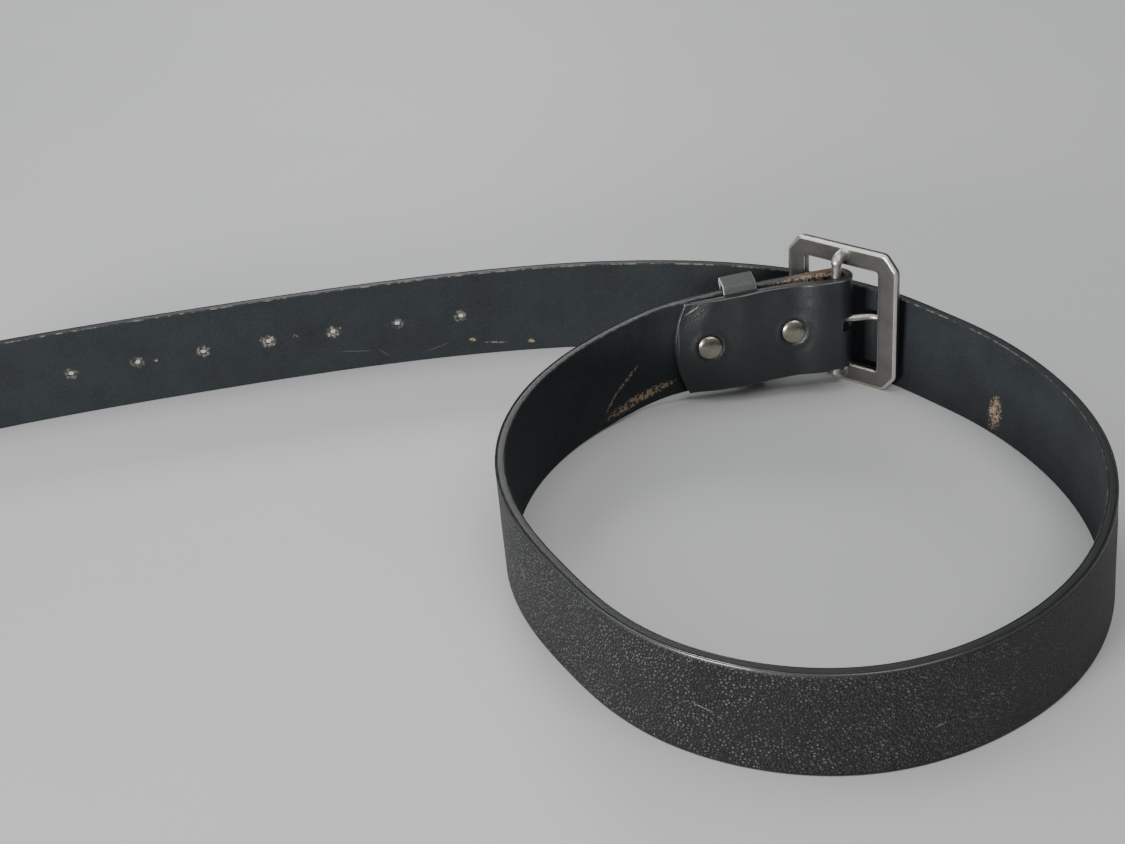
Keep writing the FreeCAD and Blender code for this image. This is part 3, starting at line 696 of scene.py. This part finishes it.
def raw_hole():
    m = Mat('belt_raw_leather')
    d = m.dev()
    n = m.noise(d, 3.0, 5.0, 0.75)
    col = m.ramp(n, [(0.3, (0.03, 0.02, 0.013)), (0.5, (0.10, 0.068, 0.042)), (0.7, (0.28, 0.20, 0.13))])
    m.link(col, 'Base Color')
    m.link(m.remap(n, 0.3, 0.7, 0.8, 0.95, 'LINEAR'), 'Roughness')
    m.link(m.bump(n, 0.8, 0.0002), 'Normal')
    m.set(Specular_IOR_Level=0.2)
    return m.m


def corner_roll():
    m = Mat('belt_corner_gloss')
    d = m.dev()
    n = m.noise(m.scaled(d, (6.0, 1.0, 1.0)), 0.8, 4.0, 0.6)
    m.link(m.ramp(n, [(0.3, (0.008, 0.008, 0.0085)), (0.7, (0.016, 0.016, 0.016))]), 'Base Color')
    m.link(m.remap(n, 0.3, 0.7, 0.20, 0.34, 'LINEAR'), 'Roughness')
    m.link(m.bump(n, 0.15, 0.00008), 'Normal')
    m.set(Specular_IOR_Level=0.95)
    return m.m


edge_mat, hole_mat, roll_mat = edge_paint(), raw_hole(), corner_roll()

strap = mesh_object('belt_strap', np.vstack(verts), np.vstack(faces),
                    [grain_mat, flesh_mat, edge_mat, flap_mat, hole_mat, roll_mat],
                    np.concatenate(fmat), {'dev': np.vstack(dev)})
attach(strap, 'strap_body')
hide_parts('strap')


# -------------------------------------------------------- general mesh makers
def grid_faces(n_ring, n_seg, close_ring=False, start=0):
    """quads for n_ring rings of n_seg points each, segments closed"""
    out = []
    last = n_ring if close_ring else n_ring - 1
    for i in range(last):
        a, b = start + i * n_seg, start + ((i + 1) % n_ring) * n_seg
        for j in range(n_seg):
            k = (j + 1) % n_seg
            out.append((a + j, a + k, b + k, b + j))
    return out


def tube(path, radii, seg=28, up=np.array([0, 0, 1.0]), cap=True):
    path = np.asarray(path, float)
    tan = np.gradient(path, axis=0)
    tan /= np.linalg.norm(tan, axis=1)[:, None]
    side = np.cross(tan[0], up)
    if np.linalg.norm(side) < 1e-3:
        side = np.cross(tan[0], [1.0, 0, 0])
    side /= np.linalg.norm(side)
    v = []
    for p, t, r in zip(path, tan, radii):
        side = side - t * np.dot(side, t)
        side /= np.linalg.norm(side)
        o = np.cross(t, side)
        for k in range(seg):
            a = 2 * math.pi * k / seg
            v.append(p + side * math.cos(a) * r + o * math.sin(a) * r)
    f = grid_faces(len(path), seg)
    if cap:
        n = len(v)
        v.append(path[0])
        v.append(path[-1])
        last = (len(path) - 1) * seg
        for k in range(seg):
            f.append((n, (k + 1) % seg, k))
            f.append((n + 1, last + k, last + (k + 1) % seg))
    return np.array(v), f


def lathe(profile, c, axis, seg=72, wob=None):
    """profile of (radius, height) about axis from c; first and last radius may be 0"""
    axis = np.asarray(axis, float)
    a = np.cross(axis, [0, 0, 1.0])
    a /= np.linalg.norm(a)
    b = np.cross(axis, a)
    v, f, rings = [], [], []
    for r, h in profile:
        if r < 1e-6:
            rings.append([len(v)])
            v.append(c + axis * h)
            continue
        ids = []
        for k in range(seg):
            q = 2 * math.pi * k / seg
            rad = r if wob is None else r * (1 + wob(q, h))
            ids.append(len(v))
            v.append(c + axis * h + a * math.cos(q) * rad + b * math.sin(q) * rad)
        rings.append(ids)
    for r0, r1 in zip(rings, rings[1:]):
        n = max(len(r0), len(r1))
        for k in range(n):
            j = (k + 1) % n
            if len(r0) == 1:
                f.append((r0[0], r1[j], r1[k]))
            elif len(r1) == 1:
                f.append((r0[k], r0[j], r1[0]))
            else:
                f.append((r0[k], r0[j], r1[j], r1[k]))
    return np.array(v), f


def outward(ob):
    import bmesh
    bm = bmesh.new()
    bm.from_mesh(ob.data)
    bmesh.ops.remove_doubles(bm, verts=bm.verts, dist=1e-7)
    bmesh.ops.recalc_face_normals(bm, faces=bm.faces)
    bm.to_mesh(ob.data)
    bm.free()


def join_solid(a, b):
    """a becomes the union of both closed meshes"""
    mod = a.modifiers.new('u', 'BOOLEAN')
    mod.operation, mod.solver, mod.object = 'UNION', 'EXACT', b
    dg = bpy.context.evaluated_depsgraph_get()
    me = bpy.data.meshes.new_from_object(a.evaluated_get(dg))
    a.modifiers.clear()
    old = a.data
    a.data = me
    bpy.data.meshes.remove(old)
    bpy.data.objects.remove(b)


def metal(name, base_a, base_b, rough, brush=None, worn=None, scratch=0.3, metallic=1.0):
    """rough = (low, high); brush = direction scale for fine polishing lines"""
    m = Mat(name)
    g = m.node('ShaderNodeTexCoord').outputs['Object']
    mm = m.scaled(g, (MM, MM, MM))
    big = m.noise(mm, 0.12, 4.0, 0.6)
    fine = m.noise(mm, 2.6, 5.0, 0.7)
    lines = m.noise(m.scaled(mm, brush or (1.0, 1.0, 9.0)), 3.0, 4.0, 0.6)
    col = m.ramp(m.math('ADD', m.math('MULTIPLY', big, 0.65), m.math('MULTIPLY', fine, 0.35)), [(0.32, base_a), (0.68, base_b)])
    if worn:
        k = m.remap(m.noise(mm, 0.8, 6.0, 0.75), 0.60, 0.74, 0.0, 0.7)
        col = m.mix(k, col, worn)
    m.link(col, 'Base Color')
    r = m.math('ADD', m.math('MULTIPLY', lines, 0.5), m.math('MULTIPLY', fine, 0.5))
    m.link(m.remap(r, 0.3, 0.7, rough[0], rough[1], 'LINEAR'), 'Roughness')
    m.link(m.bump(m.math('ADD', lines, m.math('MULTIPLY', fine, 0.6)), scratch, 0.00004, m.bump(big, 0.3, 0.0003)), 'Normal')
    m.set(Metallic=metallic)
    return m.m


gunmetal = metal('buckle_gunmetal', (0.155, 0.150, 0.145), (0.235, 0.226, 0.216), (0.27, 0.40), (7.0, 7.0, 0.7), (0.34, 0.325, 0.30), 0.35)
bright = metal('bar_bright_steel', (0.38, 0.37, 0.35), (0.54, 0.53, 0.505), (0.34, 0.46), (1.0, 1.0, 5.0), (0.30, 0.28, 0.25), 0.3)
nickel = metal('rivet_antique_nickel', (0.23, 0.225, 0.175), (0.40, 0.39, 0.32), (0.20, 0.33), (1.0, 1.0, 1.0), (0.14, 0.135, 0.11), 0.4)

# the bevels get a paler metal, partly rubbed plating and partly a painted highlight on the bevels
bevel_wear_and_highlight = metal('buckle_bevel_wear_and_highlight', (0.54, 0.52, 0.465), (0.74, 0.715, 0.65), (0.24, 0.38), (7.0, 7.0, 0.7), (0.26, 0.25, 0.235), 0.3)

# -------------------------------------------------------------------- keeper
TILT = math.radians(5.4)
KX = U3 * math.cos(TILT) + Z3 * math.sin(TILT)
KZ = -U3 * math.sin(TILT) + Z3 * math.cos(TILT)
K_U, K_LEAN = -32.5, math.atan(1.5 / 17.5)
k_c = O3 + U3 * K_U
k_c = k_c + Z3 * (float(lift_at(k_c[0])) + W / 2)
KN = N3 * math.cos(K_LEAN) - KZ * math.sin(K_LEAN)
KZ = KZ * math.cos(K_LEAN) + N3 * math.sin(K_LEAN)
k_mid = (np.interp(K_U, *zip(*LAYER)) + np.interp(K_U, *zip(*FLAPS))) / 2
k_n_in, k_n_out = k_mid - 0.65, np.interp(K_U, *zip(*LAYER)) + H + 5.0 + 1.3
kh = W / 2 + 0.5 + 1.3
KT = 1.3


def rounded_loop(x0, x1, z0, z1, r, n=10):
    """rounded rectangle, r = radii at (x1,z1), (x0,z1), (x0,z0), (x1,z0)"""
    pts = []
    for (cx, cz, a0), rr in zip([(x1, z1, 0), (x0, z1, 90), (x0, z0, 180), (x1, z0, 270)], r):
        ox = cx - rr if cx == x1 else cx + rr
        oz = cz - rr if cz == z1 else cz + rr
        for k in range(n + 1):
            a = math.radians(a0 + 90.0 * k / n)
            pts.append((ox + rr * math.cos(a), oz + rr * math.sin(a)))
    # fill the straight runs
    out = []
    for k, p in enumerate(pts):
        q = pts[(k + 1) % len(pts)]
        dl = math.hypot(q[0] - p[0], q[1] - p[1])
        m = max(1, int(dl / 0.8))
        for i in range(m):
            out.append((p[0] + (q[0] - p[0]) * i / m, p[1] + (q[1] - p[1]) * i / m))
    return np.array(out)


mid_loop = rounded_loop(k_n_in + KT / 2, k_n_out - KT / 2, -kh + KT / 2, kh + 1.5 - KT / 2, (1.9, 1.0, 1.0, 1.9))
kt = np.roll(mid_loop, -1, 0) - np.roll(mid_loop, 1, 0)
kt /= np.hypot(kt[:, 0], kt[:, 1])[:, None]
k_out_n = np.stack([kt[:, 1], -kt[:, 0]], -1)
KW = 12.0
sec = []
for k, (xx, hh) in enumerate([(-1, 1), (1, 1), (1, -1), (-1, -1)]):
    r0 = 0.42
    for a in np.linspace(0, 90, 5):
        ang = math.radians({0: 180 - a, 1: 90 - a, 2: 0 - a, 3: -90 - a}[k])
        sec.append((xx * (KW / 2 - r0) + r0 * math.cos(ang), hh * (KT / 2 - r0) + r0 * math.sin(ang)))
ext = []
for k, p in enumerate(sec):
    q = sec[(k + 1) % len(sec)]
    dl = math.hypot(q[0] - p[0], q[1] - p[1])
    m_ = max(1, int(dl / 0.9))
    for i in range(m_):
        ext.append((p[0] + (q[0] - p[0]) * i / m_, p[1] + (q[1] - p[1]) * i / m_))
sec = np.array(ext)
kv, kd = [], []
perim = np.concatenate([[0], np.cumsum(np.hypot(*np.diff(mid_loop, axis=0).T))])
kwv = waves(8, 1 / 20.0, 1 / 6.0, 31)
for i, (p, nrm) in enumerate(zip(mid_loop, k_out_n)):
    for x, h in sec:
        hh = h - (0.10 * (1 - smooth(0.0, 1.5, KW / 2 - abs(x))) if h > 0 else 0.0)
        hh = hh - (0.03 * float(kwv(perim[i], x)) if h > 0.3 else 0.0)
        q = p + nrm * hh
        kv.append(k_c + KX * x + KN * q[0] + KZ * q[1])
        kd.append((perim[i], x, h))
kf = grid_faces(len(mid_loop), len(sec), close_ring=True)


def keeper_leather():
    m = Mat('keeper_leather_green_grey')
    d = m.dev()
    fib = m.noise(m.scaled(d, (1.0, 2.2, 1.0)), 1.5, 6.0, 0.7)
    fine = m.noise(d, 5.0, 4.0, 0.7)
    cell = m.voronoi(d, 1.9, 'DISTANCE_TO_EDGE')
    sep = m.node('ShaderNodeSeparateXYZ', None, {0: d})
    x = m.math('ABSOLUTE', sep.outputs['Y'])
    col = m.ramp(m.math('ADD', m.math('MULTIPLY', fib, 0.6), m.math('MULTIPLY', fine, 0.4)),
                 [(0.3, (0.034, 0.039, 0.038)), (0.5, (0.055, 0.062, 0.059)), (0.72, (0.090, 0.098, 0.092))])
    raw = m.math('MULTIPLY', m.remap(x, 5.60, 5.82, 0.0, 1.0), m.remap(fib, 0.36, 0.6, 0.45, 1.0))
    col = m.mix(raw, col, (0.40, 0.40, 0.37))
    m.link(col, 'Base Color')
    m.link(m.remap(fine, 0.3, 0.7, 0.62, 0.82, 'LINEAR'), 'Roughness')
    m.link(m.bump(m.math('ADD', m.remap(cell, 0.0, 0.2, 0.0, 1.0), fine), 0.45, 0.00012), 'Normal')
    m.set(Specular_IOR_Level=0.35)
    return m.m


keeper = mesh_object('belt_keeper', kv, kf, [keeper_leather()], None, {'dev': np.array(kd)})
outward(keeper)
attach(keeper, 'keeper')
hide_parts('keeper_loop')

# -------------------------------------------------------------- buckle frame
FL, FH, FT, F_OFF, F_SH = 22.6, 27.2, 2.8, 4.2, -0.7


def poly_sdf(px, pz, poly):
    """signed distance to a convex polygon listed anticlockwise"""
    best = np.full(np.shape(px), 1e9)
    inside = np.ones(np.shape(px), bool)
    for (x0, z0), (x1, z1) in zip(poly, poly[1:] + poly[:1]):
        ex, ez = x1 - x0, z1 - z0
        l2 = ex * ex + ez * ez
        q = np.clip(((px - x0) * ex + (pz - z0) * ez) / l2, 0, 1)
        best = np.minimum(best, np.hypot(px - x0 - ex * q, pz - z0 - ez * q))
        inside &= (ex * (pz - z0) - ez * (px - x0)) >= 0
    return np.where(inside, -best, best)


def inset_poly(poly, d):
    out = []
    n = len(poly)
    for i in range(n):
        p0, p1, p2 = np.array(poly[i - 1]), np.array(poly[i]), np.array(poly[(i + 1) % n])
        a, b = (p1 - p0), (p2 - p1)
        a, b = a / np.linalg.norm(a), b / np.linalg.norm(b)
        na, nb = np.array([-a[1], a[0]]), np.array([-b[1], b[0]])
        A = np.array([na, nb])
        out.append(tuple(np.linalg.solve(A, [np.dot(na, p1) + d, np.dot(nb, p1) + d])))
    return out


def outline(poly, r, inset, th):
    """radius along each direction of the polygon rounded by r and pulled in by inset"""
    core = inset_poly(poly, r)
    lo, hi = np.full(len(th), 0.1), np.full(len(th), 60.0)
    for _ in range(44):
        mid = (lo + hi) / 2
        s = poly_sdf(mid * np.cos(th), mid * np.sin(th), core) - (r - inset)
        hi = np.where(s > 0, mid, hi)
        lo = np.where(s > 0, lo, mid)
    return (lo + hi) / 2


cl, chh = 4.8, 6.0
OUT = [(FL, -FH + chh), (FL, FH - chh), (FL - cl, FH), (-FL + cl, FH), (-FL, FH - chh), (-FL, -FH + chh), (-FL + cl, -FH), (FL - cl, -FH)]
wl, wh = FL - 7.8, FH - 7.4
WIN = [(wl, -wh), (wl, wh), (-wl, wh), (-wl, -wh)]
# directions evenly spaced round both outlines
th = np.linspace(0, 2 * math.pi, 720, endpoint=False)
R_O, R_W = 3.6, 1.0
rings = []      # (inset from outer, or growth of the window), depth from the back face
bev = 0.75


def ring_outer(inset, dep):
    rr = outline(OUT, R_O, inset, th)
    return rr * np.cos(th), rr * np.sin(th), dep


def ring_win(grow, dep):
    rr = outline([(x + math.copysign(grow, x), z + math.copysign(grow, z)) for x, z in WIN], R_W + grow, 0.0, th)
    return rr * np.cos(th), rr * np.sin(th), dep


def mixring(a, b, f, dep):
    return a[0] * (1 - f) + b[0] * f, a[1] * (1 - f) + b[1] * f, dep


# a flat bevel with softened edges, (inset, depth)
BEV = [(1.12, 0.0), (1.0, 0.015), (0.9, 0.06), (0.5, 0.30), (0.16, 0.52), (0.05, 0.63), (0.0, 0.80)]
for ins_, dep_ in BEV:
    rings.append(ring_outer(ins_, dep_))
rings.append(ring_outer(0.0, FT * 0.5))
for ins_, dep_ in reversed(BEV):
    rings.append(ring_outer(ins_, FT - dep_))
front_out = rings[-1]
win_f = ring_win(0.55, FT)
crown = 0.0
for f in (0.12, 0.3, 0.5, 0.7, 0.88):
    rings.append(mixring(front_out, win_f, f, FT - crown))
for a in np.linspace(0, 90, 5):
    q = math.radians(a)
    rings.append(ring_win(0.55 * (1 - math.sin(q)), FT - 0.55 * (1 - math.cos(q))))
rings.append(ring_win(0.0, FT * 0.5))
for a in np.linspace(90, 0, 5):
    q = math.radians(a)
    rings.append(ring_win(0.6 * (1 - math.sin(q)), 0.6 * (1 - math.cos(q))))
back_win = rings[-1]
for f in (0.2, 0.5, 0.8):
    rings.append(mixring(back_win, rings[0], f, 0.0))
fv = []
for x, z, dep in rings:
    for l_, zz in zip(x, z):
        fv.append(O3 + FU * (l_ + F_SH) + FN * (F_OFF + dep) + Z3 * (zz + FH))
# ring material 1, the paler bevel metal, is partly a painted highlight on the bevels
ring_mat = [1 if i <= 5 or 8 <= i <= 13 or 20 <= i <= 23 or 26 <= i <= 29 else 0 for i in range(len(rings))]
bf = mesh_object('buckle_frame_plate', fv, grid_faces(len(rings), len(th), close_ring=True), [gunmetal, bevel_wear_and_highlight],
                 np.repeat(ring_mat, len(th)))
outward(bf)
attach(bf, 'buckle')
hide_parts('buckle_frame')

# ---------------------------------------------------------------- buckle bar
foot_lo, foot_hi, ER = 3.7, 50.7, 2.1
bp, br_ = [], []


def bar_add(d, z, r):
    bp.append(O3 + FN * d + Z3 * z)
    br_.append(r)


FOOT = [(F_OFF + 0.4, 2.75), (F_OFF + 0.05, 2.75), (F_OFF - 0.3, 2.5), (F_OFF - 0.7, 2.3), (F_OFF - 1.1, 2.25)]


def elbow_r(a):
    return 1.7 + 0.55 * math.cos(math.radians(a)) ** 0.5 + 0.15 * math.sin(math.radians(2 * a)) if a < 89.9 else 1.75


for d, r in FOOT:
    bar_add(d, foot_lo, r)
for a in np.linspace(0, 90, 14):
    q = math.radians(a)
    bar_add(ER - ER * math.sin(q), foot_lo + ER - ER * math.cos(q), min(elbow_r(a), 2.05))
for z in np.linspace(foot_lo + ER, foot_hi - ER, 40)[1:-1]:
    g_ = min(z - foot_lo - ER, foot_hi - ER - z)
    bar_add(0.0, z, 1.7 + 0.3 * float(1 - smooth(0.0, 1.6, g_)))
for a in np.linspace(90, 0, 14):
    q = math.radians(a)
    bar_add(ER - ER * math.sin(q), foot_hi - ER + ER * math.cos(q), min(elbow_r(a), 2.05))
for d, r in reversed(FOOT):
    bar_add(d, foot_hi, r)
v_, f_ = tube(bp, br_, 32, up=FU)
bar = mesh_object('buckle_bar_rod', v_, f_, [bright])
outward(bar)
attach(bar, 'buckle')
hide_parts('buckle_bar')

# -------------------------------------------------------------------- prong
pr = math.radians(42.0)
PD = FU * math.cos(pr) + FN * math.sin(pr)
O_m = O3 + Z3 * MID_Z
corner = O_m + PD * (8.75 / math.sin(pr))
tl = 6.0 * math.tan(pr / 2)
pa, pb = corner - PD * tl, corner + FU * tl
cen = pb - FN * 6.0
pp, prr = [], []
for f in np.linspace(0, 1, 12):
    pp.append(O_m + PD * 2.1 + (pa - O_m - PD * 2.1) * f)
a0 = pa - cen
for a in np.linspace(0, pr, 14)[1:]:
    q = a0 / 6.0
    c, s = math.cos(-a), math.sin(-a)
    pp.append(cen + 6.0 * np.array([q[0] * c - q[1] * s, q[0] * s + q[1] * c, 0.0]))
tip_at = corner + FU * (20.0 - np.dot(corner - O_m, FU))
end_l = np.dot(tip_at - pb, FU)
for f in np.linspace(0, 1, 16)[1:]:
    pp.append(pb + FU * end_l * f)
pp = np.array(pp)
dl = np.concatenate([[0], np.cumsum(np.linalg.norm(np.diff(pp, axis=0), axis=1))])
for d in dl:
    left = dl[-1] - d
    r = 1.25 - 0.25 * (d / dl[-1])
    if left < 1.8:
        r *= math.sqrt(max(1 - ((1.8 - left) / 1.8) ** 2 * 0.86, 0.05))
    prr.append(r)
v_, f_ = tube(pp, prr, 28)
prong = mesh_object('buckle_prong_pin', v_, f_, [bright])
outward(prong)
prof = []
ri, ro, hh = 1.76, 3.4, 1.4
for a in np.linspace(0, 90, 5):
    q = math.radians(a)
    prof.append((ro - 0.5 + 0.5 * math.sin(q), -hh + 0.5 - 0.5 * math.cos(q)))
for a in np.linspace(0, 90, 5):
    q = math.radians(a)
    prof.append((ro - 0.5 + 0.5 * math.cos(q), hh - 0.5 + 0.5 * math.sin(q)))
for a in np.linspace(0, 90, 4):
    q = math.radians(a)
    prof.append((ri + 0.3 - 0.3 * math.sin(q), hh - 0.3 + 0.3 * math.cos(q)))
for a in np.linspace(0, 90, 4):
    q = math.radians(a)
    prof.append((ri + 0.3 - 0.3 * math.cos(q), -hh + 0.3 - 0.3 * math.sin(q)))
ev = []
SEG = 64
for r, z in prof:
    for k in range(SEG):
        a = 2 * math.pi * k / SEG
        ev.append(O_m + np.array([math.cos(a) * r, math.sin(a) * r, z]))
eye = mesh_object('eye', ev, grid_faces(len(prof), SEG, close_ring=True), [bright])
outward(eye)
join_solid(prong, eye)
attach(prong, 'prong')
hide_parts('buckle_prong')

# ------------------------------------------------------------------- rivets
SINK = 0.35


def along(table, u):
    return float(np.interp(u, [p[0] for p in table], [p[1] for p in table]))


for name, u in (('front', RIVET_U[0]), ('rear', RIVET_U[1])):
    c0 = O3 + U3 * u
    zc = float(np.interp(c0[0], lift_x, lift_z)) + W / 2
    c0 = c0 + Z3 * zc
    seat_in = along(FLAPS, u) - H + SINK
    seat_out = along(LAYER, u) + H - SINK
    r_s = np.random.default_rng(int(-u * 10))
    am, ph = r_s.uniform(0.002, 0.006, 3), r_s.uniform(0, 6.28, 3)
    wob = lambda q, h, am=am, ph=ph: sum(a * math.sin((k + 2) * q + p) for k, (a, p) in enumerate(zip(am, ph)))
    # domed head, seen from inside the loop, with a rolled rim and its post
    head_prof = [(0.0, 1.50), (0.6, 1.488), (1.2, 1.452), (1.8, 1.392), (2.4, 1.302), (2.95, 1.185), (3.45, 1.03), (3.85, 0.86),
                 (4.15, 0.69), (4.36, 0.50), (4.46, 0.32), (4.48, 0.16), (4.40, 0.04), (4.2, 0.0), (1.6, 0.0), (1.5, -0.1),
                 (1.5, -(seat_out + 0.3 - seat_in)), (1.2, -(seat_out + 0.5 - seat_in)), (0.0, -(seat_out + 0.5 - seat_in))]
    b_ = math.atan(-float(offset_at(u_to_s(u), W)) / (W / 2))
    ax = N3 * math.cos(b_) - Z3 * math.sin(b_)
    v_, f_ = lathe(head_prof, c0 + N3 * seat_in, -ax, 72, wob)
    hd = mesh_object('rivet_%s_head_dome' % name, v_, f_, [nickel])
    outward(hd)
    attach(hd, 'strap_body')
    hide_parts('rivet_%s_head' % name)
    cap_prof = [(0.0, 1.10), (0.7, 1.09), (1.4, 1.06), (2.1, 1.0), (2.8, 0.90), (3.4, 0.77), (3.9, 0.61), (4.25, 0.44),
                (4.45, 0.26), (4.48, 0.12), (4.38, 0.02), (4.1, 0.0), (1.55, 0.0), (1.55, 0.3), (0.0, 0.3)]
    b_ = math.atan(float(offset_at(LENGTH + u, W)) / (W / 2))
    ax = N3 * math.cos(b_) - Z3 * math.sin(b_)
    v_, f_ = lathe(cap_prof, c0 + N3 * (seat_out + 0.02), ax, 72, wob)
    cp = mesh_object('rivet_%s_cap_disc' % name, v_, f_, [nickel])
    outward(cp)
    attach(cp, 'strap_body')
    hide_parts('rivet_%s_cap' % name)

# --------------------------------------------------------------------- stage
floor_v = [(-3000, -3000, 0), (3000, -3000, 0), (3000, 3000, 0), (-3000, 3000, 0)]
fm = Mat('studio_floor')
g = fm.node('ShaderNodeTexCoord').outputs['Object']
fm.link(fm.ramp(fm.noise(g, 3.0, 3.0), [(0.3, (0.50, 0.505, 0.505)), (0.7, (0.53, 0.535, 0.53))]), 'Base Color')
fm.set(Roughness=0.55, Specular_IOR_Level=0.3)
floor = mesh_object('studio_floor', floor_v, [(0, 1, 2, 3)], [fm.m], flat=True)
floor.location.z = -0.00005

world = bpy.data.worlds.new('studio') if not bpy.context.scene.world else bpy.context.scene.world
bpy.context.scene.world = world
world.use_nodes = True
bg = next(n for n in world.node_tree.nodes if n.type == 'BACKGROUND')
bg.inputs[0].default_value = (0.83, 0.86, 0.88, 1)
bg.inputs[1].default_value = 0.30


def area(name, loc, target, sx, sy, power, col=(1, 1, 1)):
    li = bpy.data.lights.new(name, 'AREA')
    li.shape, li.size, li.size_y, li.energy, li.color = 'RECTANGLE', sx, sy, power, col
    ob = bpy.data.objects.new(name, li)
    ob.location = loc
    ob.rotation_euler = (Vector(target) - Vector(loc)).to_track_quat('-Z', 'Y').to_euler()
    bpy.context.scene.collection.objects.link(ob)
    return ob


ctr = (0.09, 0.0, 0.02)
area('front', (-0.86, -0.95, 0.24), (0.09, -0.12, 0.02), 0.50, 0.24, 30.0, (1.0, 0.99, 0.97))
area('key', (0.55, -0.75, 1.15), ctr, 0.9, 0.6, 6.0, (1.0, 0.985, 0.96))
area('left', (-1.1, 0.1, 1.0), ctr, 0.8, 0.8, 5.0, (0.94, 0.97, 1.0))
area('back', (-0.1, 1.15, 0.70), (0.12, 0.0, 0.03), 0.45, 0.30, 5.0)
area('top', (0.1, 0.1, 1.6), ctr, 1.3, 1.3, 9.5)

# -------------------------------------------------------------------- camera
p, r = 0.532913, -0.092304
fwd = Vector((0, math.cos(p), -math.sin(p)))
right0, up0 = Vector((1, 0, 0)), Vector((0, math.sin(p), math.cos(p)))
right = right0 * math.cos(r) + up0 * math.sin(r)
up = -right0 * math.sin(r) + up0 * math.cos(r)
cam_d = bpy.data.cameras.new('camera')
cam_d.sensor_width = 36.0
cam_d.lens = 1688.34 / 1125.0 * 36.0
cam_d.clip_start, cam_d.clip_end = 0.01, 50
cam = bpy.data.objects.new('camera', cam_d)
cam.matrix_world = Matrix(((right.x, up.x, -fwd.x, 0.0583), (right.y, up.y, -fwd.y, -0.46252),
                           (right.z, up.z, -fwd.z, 0.31278), (0, 0, 0, 1)))
bpy.context.scene.collection.objects.link(cam)
bpy.context.scene.camera = cam
